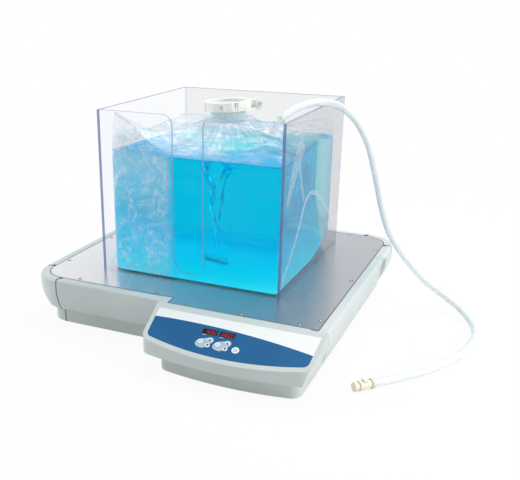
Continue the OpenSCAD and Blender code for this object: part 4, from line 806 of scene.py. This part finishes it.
def build_liquid(material):
    """The liquid: pressed flat by the tank, with a vortex over the stirring bar."""
    n = 200
    rings = liquid_rings(n)
    p = np.vstack(rings + [[(0, 0, LIQUID_FOOT), (0, 0, TIP_Z - 1.5 * MM)]])
    wall = at_wall(p, LIQUID_HALF) * smooth(FLOOR_TOP, 0.1, p[:, 2]) * smooth(WATER, WATER - 0.01, p[:, 2])
    dents = 0.9 * crumple(p, 26, seed=7.7) + 0.4 * waves(p, 70)
    press = 0.35 * waves(p, 22, seed=3.1) + left_front(p) * dents
    p[:, :2] -= outward(p) * (wall * np.abs(press) * 1.1 * MM)[:, None]
    p = gusset(p)
    p[:, 1] += TANK_MID
    faces = close_rings(rings, n, len(p) - 2, len(p) - 1)
    return mesh_object("bag_liquid_body", p, faces, material, "bag")


def left_share(s, x, y):
    """Share of the bag's crinkled left front in a material."""
    return s.math("MULTIPLY", s.ramp(x, -0.042, -0.024, 1, 0), s.ramp(y, -0.09, -0.05, 1, 0))


def liquid_material():
    """Blue liquid, dented at the left front, with a pale share where light comes back from near its foot."""
    s = Shade("blue_liquid")
    x, y, z = s.axes()
    amount = s.math("MULTIPLY_ADD", left_share(s, x, y), 0.32, 0.015)
    fine = s.math("ADD", s.noise(60, 8, rough=0.75, distort=1.2),
                  s.math("MULTIPLY", s.noise(300, 3, rough=0.7), 0.35))
    dent = s.bump(fine, amount, 0.010)
    water = {"Color": (1, 1, 1, 1), "IOR": 1.333, "Roughness": 0.0, "Normal": dent}
    enter = s.add("ShaderNodeBsdfRefraction", water).outputs[0]
    leave = s.add("ShaderNodeBsdfGlass", water).outputs[0]
    mirror = {"Color": (1, 1, 1, 1), "Roughness": 0.03, "Normal": dent}
    shine = s.add("ShaderNodeBsdfGlossy", mirror).outputs[0]
    foot = s.add("ShaderNodeBsdfDiffuse", {"Color": (0.5, 1, 0.92, 1), "Roughness": 0.0}).outputs[0]
    gloss = s.math("MULTIPLY_ADD", s.math("POWER", s.facing(), 5.0), 0.35, 0.002, True)
    inner = s.add("ShaderNodeNewGeometry").outputs["Backfacing"]
    deep = s.ramp(z, FLOOR_TOP + 3 * MM, FLOOR_TOP + 30 * MM, 0.6, 0.0)
    wet = s.blend(inner, s.blend(gloss, enter, shine), s.blend(deep, leave, foot))
    lit = s.add("ShaderNodeLightPath").outputs["Is Shadow Ray"]
    inside = s.add("ShaderNodeVolumeAbsorption", {"Color": (0.0, 0.928, 0.979, 1), "Density": 25.0})
    s.tree.links.new(inside.outputs[0], s.out.inputs["Volume"])
    return s.finish(s.blend(lit, wet, s.clear((0.75, 0.93, 0.97, 1))))


liquid = build_liquid(liquid_material())
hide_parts("bag_liquid")


def film_material():
    """Clear film: streaked and hazy on top, nearly bare on its dry walls, crinkled on its wet left front;
    its wet bottom is made opaque and painted cyan, painted light for the light coming back up through the
    liquid.
    """
    s = Shade("bag_film_sheet")
    x, y, z = s.axes()
    up = s.along((0, 0, 1))
    wet = s.ramp(z, WATER, WATER + 2.5 * MM, 1, 0)
    dry = s.math("SUBTRACT", 1.0, wet)
    left = left_share(s, x, y)
    port = (0, TANK_MID, 0.31)
    from_port = s.add("ShaderNodeVectorMath", {0: s.place, 1: port}, operation="SUBTRACT").outputs[0]
    away = s.add("ShaderNodeVectorMath", {0: from_port}, operation="LENGTH").outputs["Value"]
    way = s.add("ShaderNodeVectorMath", {0: from_port}, operation="NORMALIZE").outputs[0]
    rays = s.noise(4.5, 6, (1, 1, 0.4), 0.68, place=way, distort=0.5)
    wisps = s.noise(46, 7, (0.38, 1.5, 2.2), 0.75, distort=0.7)
    streak = s.ramp(s.math("MULTIPLY_ADD", rays, 0.4, s.math("MULTIPLY", wisps, 0.6)), 0.46, 0.60)
    hazy = s.math("MULTIPLY", s.ramp(away, 0.06, 0.17, 0.36, 0), s.ramp(x, 0.0, 0.07, 1, 0.3))
    lie = s.ramp(x, -0.09, 0.05, 0.22, 0.0)
    top = s.math("ADD", s.math("MULTIPLY_ADD", streak, 0.42, 0.1), s.math("ADD", hazy, lie), clamp=True)
    splash = s.math("MULTIPLY", s.ramp(z, WATER + 12 * MM, WATER + 34 * MM, 1, 0),
                    s.ramp(x, -0.04, 0.04, 1, 0.15))
    side = s.math("MULTIPLY_ADD", streak, s.math("MULTIPLY_ADD", splash, 0.34, 0.12),
                  s.math("MULTIPLY_ADD", splash, 0.14, 0.05))
    above = s.math("ADD", s.math("MULTIPLY", s.ramp(up, 0.25, 0.75), s.math("SUBTRACT", top, side)), side)
    speck = s.ramp(s.noise(420, 3, rough=0.7), 0.57, 0.70)
    patch = s.ramp(s.noise(38, 6, rough=0.72, distort=1.0), 0.40, 0.70)
    ridge = s.math("ABSOLUTE", s.math("SUBTRACT", s.noise(22, 4, (1, 1, 0.7), 0.6, distort=0.6), 0.5))
    crack = s.math("MULTIPLY", s.ramp(ridge, 0.0, 0.022, 1, 0), s.ramp(s.noise(25, 3), 0.42, 0.6))
    pale = s.math("MULTIPLY_ADD", s.ramp(z, 0.17, 0.27), 0.24, 0.12)
    wing = s.math("ADD", s.math("MULTIPLY_ADD", patch, 0.34, pale), s.math("MULTIPLY", crack, 0.22))
    behind = s.math("MULTIPLY", s.ramp(x, 0.105, 0.118), s.ramp(y, 0.105, 0.125, 0, 0.36))
    # Painted light: the film's wet bottom is made opaque and cyan, standing in for light coming back up
    # through the liquid.
    bottom = s.math("MULTIPLY", wet, s.ramp(up, 0.6, 0.9))
    below = s.math("ADD", s.math("MULTIPLY", left, wing), s.math("MULTIPLY_ADD", streak, 0.015, behind))
    below = s.math("MULTIPLY_ADD", bottom, 0.8, below)
    cloud = s.math("ADD", s.math("MULTIPLY", wet, below), s.math("MULTIPLY", dry, above))
    rim = s.math("MULTIPLY", s.math("POWER", s.facing(), 4.0), 0.1)
    crease = s.math("ADD", s.noise(60, 6, (0.8, 1, 1.6), 0.7, distort=0.8),
                    s.math("MULTIPLY", s.noise(240, 3), 0.25))
    tone = s.mix(patch, rgb(226, 233, 239), rgb(242, 246, 249))
    # The cyan base colour at the bottom is painted light.
    s.set(Base_Color=s.mix(bottom, tone, rgb(110, 246, 255)), Roughness=0.2,
          Normal=s.bump(crease, 0.3, 0.003))
    spread = s.math("MULTIPLY", s.ramp(z, 0.17, 0.21, 1, 0), s.ramp(s.noise(14, 2), 0.42, 0.58))
    dots = s.math("MULTIPLY", s.math("MULTIPLY", wet, left), s.math("MULTIPLY", speck, spread))
    through = s.clear(s.mix(dots, (0.99, 0.993, 0.997, 1), (0.3, 0.68, 0.84, 1)))
    return s.finish(s.blend(s.math("ADD", cloud, rim, clamp=True), through, s.bsdf.outputs[0]))


# The film's upper edge: its lowest level, and hills on it by place, height and spread
FILM_LOW = WATER + 3.5 * MM
PEAKS = [(-0.130, -0.129, 0.054, 0.040), (-0.143, 0.010, 0.014, 0.070), (-0.120, 0.120, 0.014, 0.055),
         (0.1245, 0.120, 0.026, 0.045), (0.1385, -0.1245, 0.010, 0.030), (0.143, -0.020, 0.012, 0.050)]
ELBOW = np.array((0.0958, -0.0551, 0.3010))
ELBOW_LEAN = math.tan(math.radians(16.4))


def rim_rise(x, y):
    """How far the film's upper edge stands above its low middle, by its place round the bag."""
    return sum(h * hill(x, y, (cx, cy), w) for cx, cy, h, w in PEAKS)


def top_height(edge, weld, xy, s):
    """Height of the film's top, a share s of the way from its edge to the port's weld."""
    z = FILM_LOW + edge * (1 - s) ** 2.2 + (weld - FILM_LOW) * s ** 1.9
    near = hill(xy[:, 0], xy[:, 1], ELBOW, 0.022)
    seat = ELBOW[2] - (xy[:, 0] - ELBOW[0]) * ELBOW_LEAN
    return z + near * np.maximum(0, seat - z)


def build_film(material):
    """The bag's film: foot, wet and dry walls up to a raised edge, and a folded top up to the port's weld."""
    n, dry_rings = 320, 9
    wet_top = WATER + 1 * MM
    square, ways = plan(n, FILM_HALF)
    rings = foot_rings(square, ways, FILM_FOOT) + wall_rings(square, FILM_FOOT, wet_top, 46)
    lower = len(rings)
    edge = rim_rise(square[:, 0], square[:, 1])
    for s in np.linspace(0, 1, dry_rings + 1)[1:]:
        inset = 1 - 0.03 * s * s
        rings.append(np.column_stack((square * inset, wet_top * (1 - s) + (FILM_LOW + edge) * s)))
    angle = np.arctan2(square[:, 1], square[:, 0])
    weld = np.array([port_point(WELD_R * math.cos(a), WELD_R * math.sin(a), -WELD_DROP) for a in angle])
    weld[:, 1] -= TANK_MID
    foot = rings[-1]
    for s in np.linspace(0, 1, 60)[1:]:
        p = foot * (1 - s) + weld * s
        p[:, 2] = top_height(edge, weld[:, 2], p[:, :2], s)
        free = min(1.0, 8 * s, 12 * (1 - s)) * (1 - hill(p[:, 0], p[:, 1], ELBOW, 0.016))
        polar = np.column_stack((angle * 2.2, np.full(n, s * 1.3), np.zeros(n)))
        fold = 0.0026 * crumple(polar, 3.0, seed=1.3) + 0.0013 * crumple(polar, 8.0, (1, 0.5, 1), 4.2)
        fold += 0.0009 * crumple(p, 24, (0.6, 1.6, 1), 8.0)
        p[:, 2] = np.maximum(p[:, 2] + (fold - 0.002) * free, WATER + 1.5 * MM)
        rings.append(p)
    p = np.vstack(rings)
    count = lower * n
    below = p[:count]
    press = 0.30 * waves(below, 20, seed=9.0) + left_front(below) * 0.45 * crumple(below, 30, seed=2.0)
    below[:, :2] += outward(below) * (at_wall(below, FILM_HALF) * press * 0.8 * MM)[:, None]
    upper = p[count:count + dry_rings * n]
    rise = smooth(WATER, WATER + 0.012, upper[:, 2])
    inward = (0.8 * np.clip(crumple(upper, 18, (1, 1, 0.45), 5.0), 0, 1)
              + 0.2 * np.clip(crumple(upper, 45, (1, 1, 0.4)), 0, 1))
    upper[:, :2] -= outward(upper) * (rise * inward * MM)[:, None]
    p = np.vstack((p, [(0, 0, FILM_FOOT)]))
    p = gusset(p)
    p[:, 1] += TANK_MID
    faces = close_rings(rings, n, len(p) - 1, None)
    return mesh_object("bag_shell", p, faces, material, "bag")


film = build_film(film_material())
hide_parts("bag_film")


def seam_material(name, amount):
    s = Shade(name)
    grain = s.ramp(s.noise(160, 4, rough=0.7), 0.35, 0.75, amount * 0.6, amount)
    s.set(Base_Color=rgb(240, 245, 248), Roughness=0.25, Normal=s.bump(s.noise(220, 4), 0.3, 0.001))
    return s.finish(s.blend(grain, s.clear((0.98, 0.99, 1, 1)), s.bsdf.outputs[0]))


def side_strip(name, places, widths, materials, lift=0.6 * MM):
    """Flat strips of film on the bag's right and left sides, by places along the tank and in height."""
    pts = np.array(places, float) * MM
    steps, shares = 12, (-1, -0.5, 0, 0.5, 1)
    for hand, side, material in (("right", 1, materials[0]), ("left", -1, materials[1])):
        rows = []
        for i in range(len(pts) - 1):
            d = (pts[i + 1] - pts[i]) / np.linalg.norm(pts[i + 1] - pts[i])
            across = np.array((-d[1], d[0]))
            for k in range(steps + (i == len(pts) - 2)):
                t = k / steps
                here = pts[i] * (1 - t) + pts[i + 1] * t
                w = (widths[i] * (1 - t) + widths[i + 1] * t) * MM / 2
                rows.append([(side * side_x(*(here + across * w * e), lift), *(here + across * w * e))
                             for e in shares])
        verts = [v for row in rows for v in row]
        n = len(shares)
        faces = [(i * n + j, i * n + j + 1, i * n + j + n + 1, i * n + j + n)
                 for i in range(len(rows) - 1) for j in range(n - 1)]
        mesh_object(f"{name}_{hand}", verts, faces, material, "bag")


seams = (seam_material("film_seam", 0.75), seam_material("film_seam_left", 0.4))
folds = (seam_material("film_fold", 0.5), seam_material("film_fold_left", 0.15))
side_strip("seam_front", [(-93, 86), (40, 188)], (6, 8), seams)
side_strip("seam_back", [(116, 187), (160, 140), (183, 93)], (7, 6, 4), seams)
side_strip("seam_cross", [(40, 188), (72, 196), (116, 187)], (9, 6, 9), seams)
side_strip("corner_fold", [(14, 292), (-26, 262), (-71, 212)], (40, 36, 12), folds)
side_strip("web_fold", [(-4, 258), (14, 222), (40, 188)], (12, 12, 6), folds)


# Port, clamp and couplings
ivory = moulded("clamp_ivory", rgb(250, 249, 241), rgb(245, 244, 235), 0.4, 900, 0.06)
dress(ivory, "clamp_front_half", "clamp_back_half", "clamp_nut")
soften(0.9, "clamp_front_half", "clamp_back_half", "clamp_nut")
cream = moulded("coupling_cream", rgb(242, 237, 219), rgb(237, 231, 211), 0.35, 900, 0.05)
dress(cream, "coupling_body", "coupling_plug")
soften(0.7, "coupling_body", "coupling_plug")
dress(moulded("latch_white", rgb(244, 244, 240), rgb(238, 238, 233), 0.35, 900, 0.05), "coupling_latch")
soften(0.5, "coupling_latch")
dress(moulded("tie_green", rgb(218, 233, 214), rgb(210, 228, 207), 0.35, 700, 0.1), "hose_tie_port",
      "hose_tie_end")
soften(0.4, "hose_tie_port", "hose_tie_end")
dress(moulded("cap_pale", rgb(226, 230, 230), rgb(220, 225, 226), 0.35, 900, 0.05), "port_cap")
dress(moulded("gasket_white", rgb(225, 225, 224), rgb(218, 218, 217), 0.55, 900, 0.08), "port_gasket")
dress(moulded("bar_white", rgb(236, 238, 240), rgb(228, 231, 234), 0.3, 600, 0.05), "stir_bar")


def port_material():
    s = Shade("port_clear")
    edge = s.facing()
    s.set(Base_Color=s.mix(s.noise(30, 3), rgb(240, 247, 248), rgb(247, 251, 251)), Roughness=0.22,
          Normal=s.bump(s.noise(300, 2), 0.04, 0.0003))
    through = s.clear((0.98, 0.993, 0.993, 1))
    return s.finish(s.blend(s.ramp(edge, 0, 1, 0.4, 0.7), through, s.bsdf.outputs[0]))


dress(port_material(), "port_spout", "hose_port")
soften(0.5, "port_spout", "hose_port", "port_cap")


# Stage and light
def make_floor():
    """A white floor with a faint shadow near the object and plain white farther off."""
    data = bpy.data.meshes.new("floor")
    data.from_pydata([(*p, 0) for p in box(-8, -8, 8, 8)], [], [(0, 1, 2, 3)])
    floor = bpy.data.objects.new("floor", data)
    floor.location.z = -0.4 * MM
    scene.collection.objects.link(floor)
    s = Shade("floor_white")
    s.set(Base_Color=(0.86, 0.86, 0.86, 1), Roughness=0.9, Specular_IOR_Level=0.1)
    path = s.add("ShaderNodeLightPath")
    seen = s.math("MAXIMUM", path.outputs["Is Camera Ray"],
                  s.math("MAXIMUM", path.outputs["Is Glossy Ray"], path.outputs["Is Transmission Ray"]))
    white = s.add("ShaderNodeEmission", {"Color": (1, 1, 1, 1), "Strength": 1.0})
    away = s.add("ShaderNodeVectorMath", {0: s.place}, operation="LENGTH").outputs["Value"]
    share = s.math("MULTIPLY", seen, s.ramp(away, 0.45, 1.0, 0.92, 1.0))
    data.materials.append(s.finish(s.blend(share, s.bsdf.outputs[0], white.outputs[0])))


make_floor()


def make_world():
    """Soft light on the object, plain white where a camera, glossy or transmission ray meets the backdrop."""
    world = bpy.data.worlds.new("studio")
    scene.world = world
    world.use_nodes = True
    tree = world.node_tree
    tree.nodes.clear()
    path, lit, seen, either, any_ray, mix, out = (tree.nodes.new("ShaderNode" + kind) for kind in (
        "LightPath", "Background", "Background", "Math", "Math", "MixShader", "OutputWorld"))
    for node, colour, strength in ((lit, (0.97, 0.985, 1, 1), 0.42), (seen, (1, 1, 1, 1), 1.0)):
        node.inputs["Color"].default_value = colour
        node.inputs["Strength"].default_value = strength
    either.operation = any_ray.operation = "MAXIMUM"
    for start, end in ((path.outputs["Is Camera Ray"], either.inputs[0]),
                       (path.outputs["Is Glossy Ray"], either.inputs[1]),
                       (either.outputs[0], any_ray.inputs[0]),
                       (path.outputs["Is Transmission Ray"], any_ray.inputs[1]),
                       (any_ray.outputs[0], mix.inputs[0]), (lit.outputs[0], mix.inputs[1]),
                       (seen.outputs[0], mix.inputs[2]), (mix.outputs[0], out.inputs["Surface"])):
        tree.links.new(start, end)


make_world()
LAMPS_TO = Vector((0, 0, 0.15))


def make_lamp(name, at, size, power):
    data = bpy.data.lights.new(name, "AREA")
    data.shape = "RECTANGLE"
    data.size, data.size_y = size
    data.energy = power
    lamp = bpy.data.objects.new(name, data)
    lamp.location = at
    lamp.rotation_euler = (LAMPS_TO - Vector(at)).to_track_quat("-Z", "Y").to_euler()
    lamp.visible_camera = False
    lamp.visible_transmission = False
    scene.collection.objects.link(lamp)


make_lamp("key", (0.5, 0.9, 2.1), (1.8, 1.6), 34)
make_lamp("left", (-1.9, -0.6, 1.1), (1.0, 1.2), 20)
make_lamp("side", (2.0, -0.2, 0.9), (0.8, 1.2), 21)

scene.cycles.transparent_max_bounces = 40
scene.cycles.transmission_bounces = 16
scene.cycles.max_bounces = 20
scene.view_settings.view_transform = "Standard"
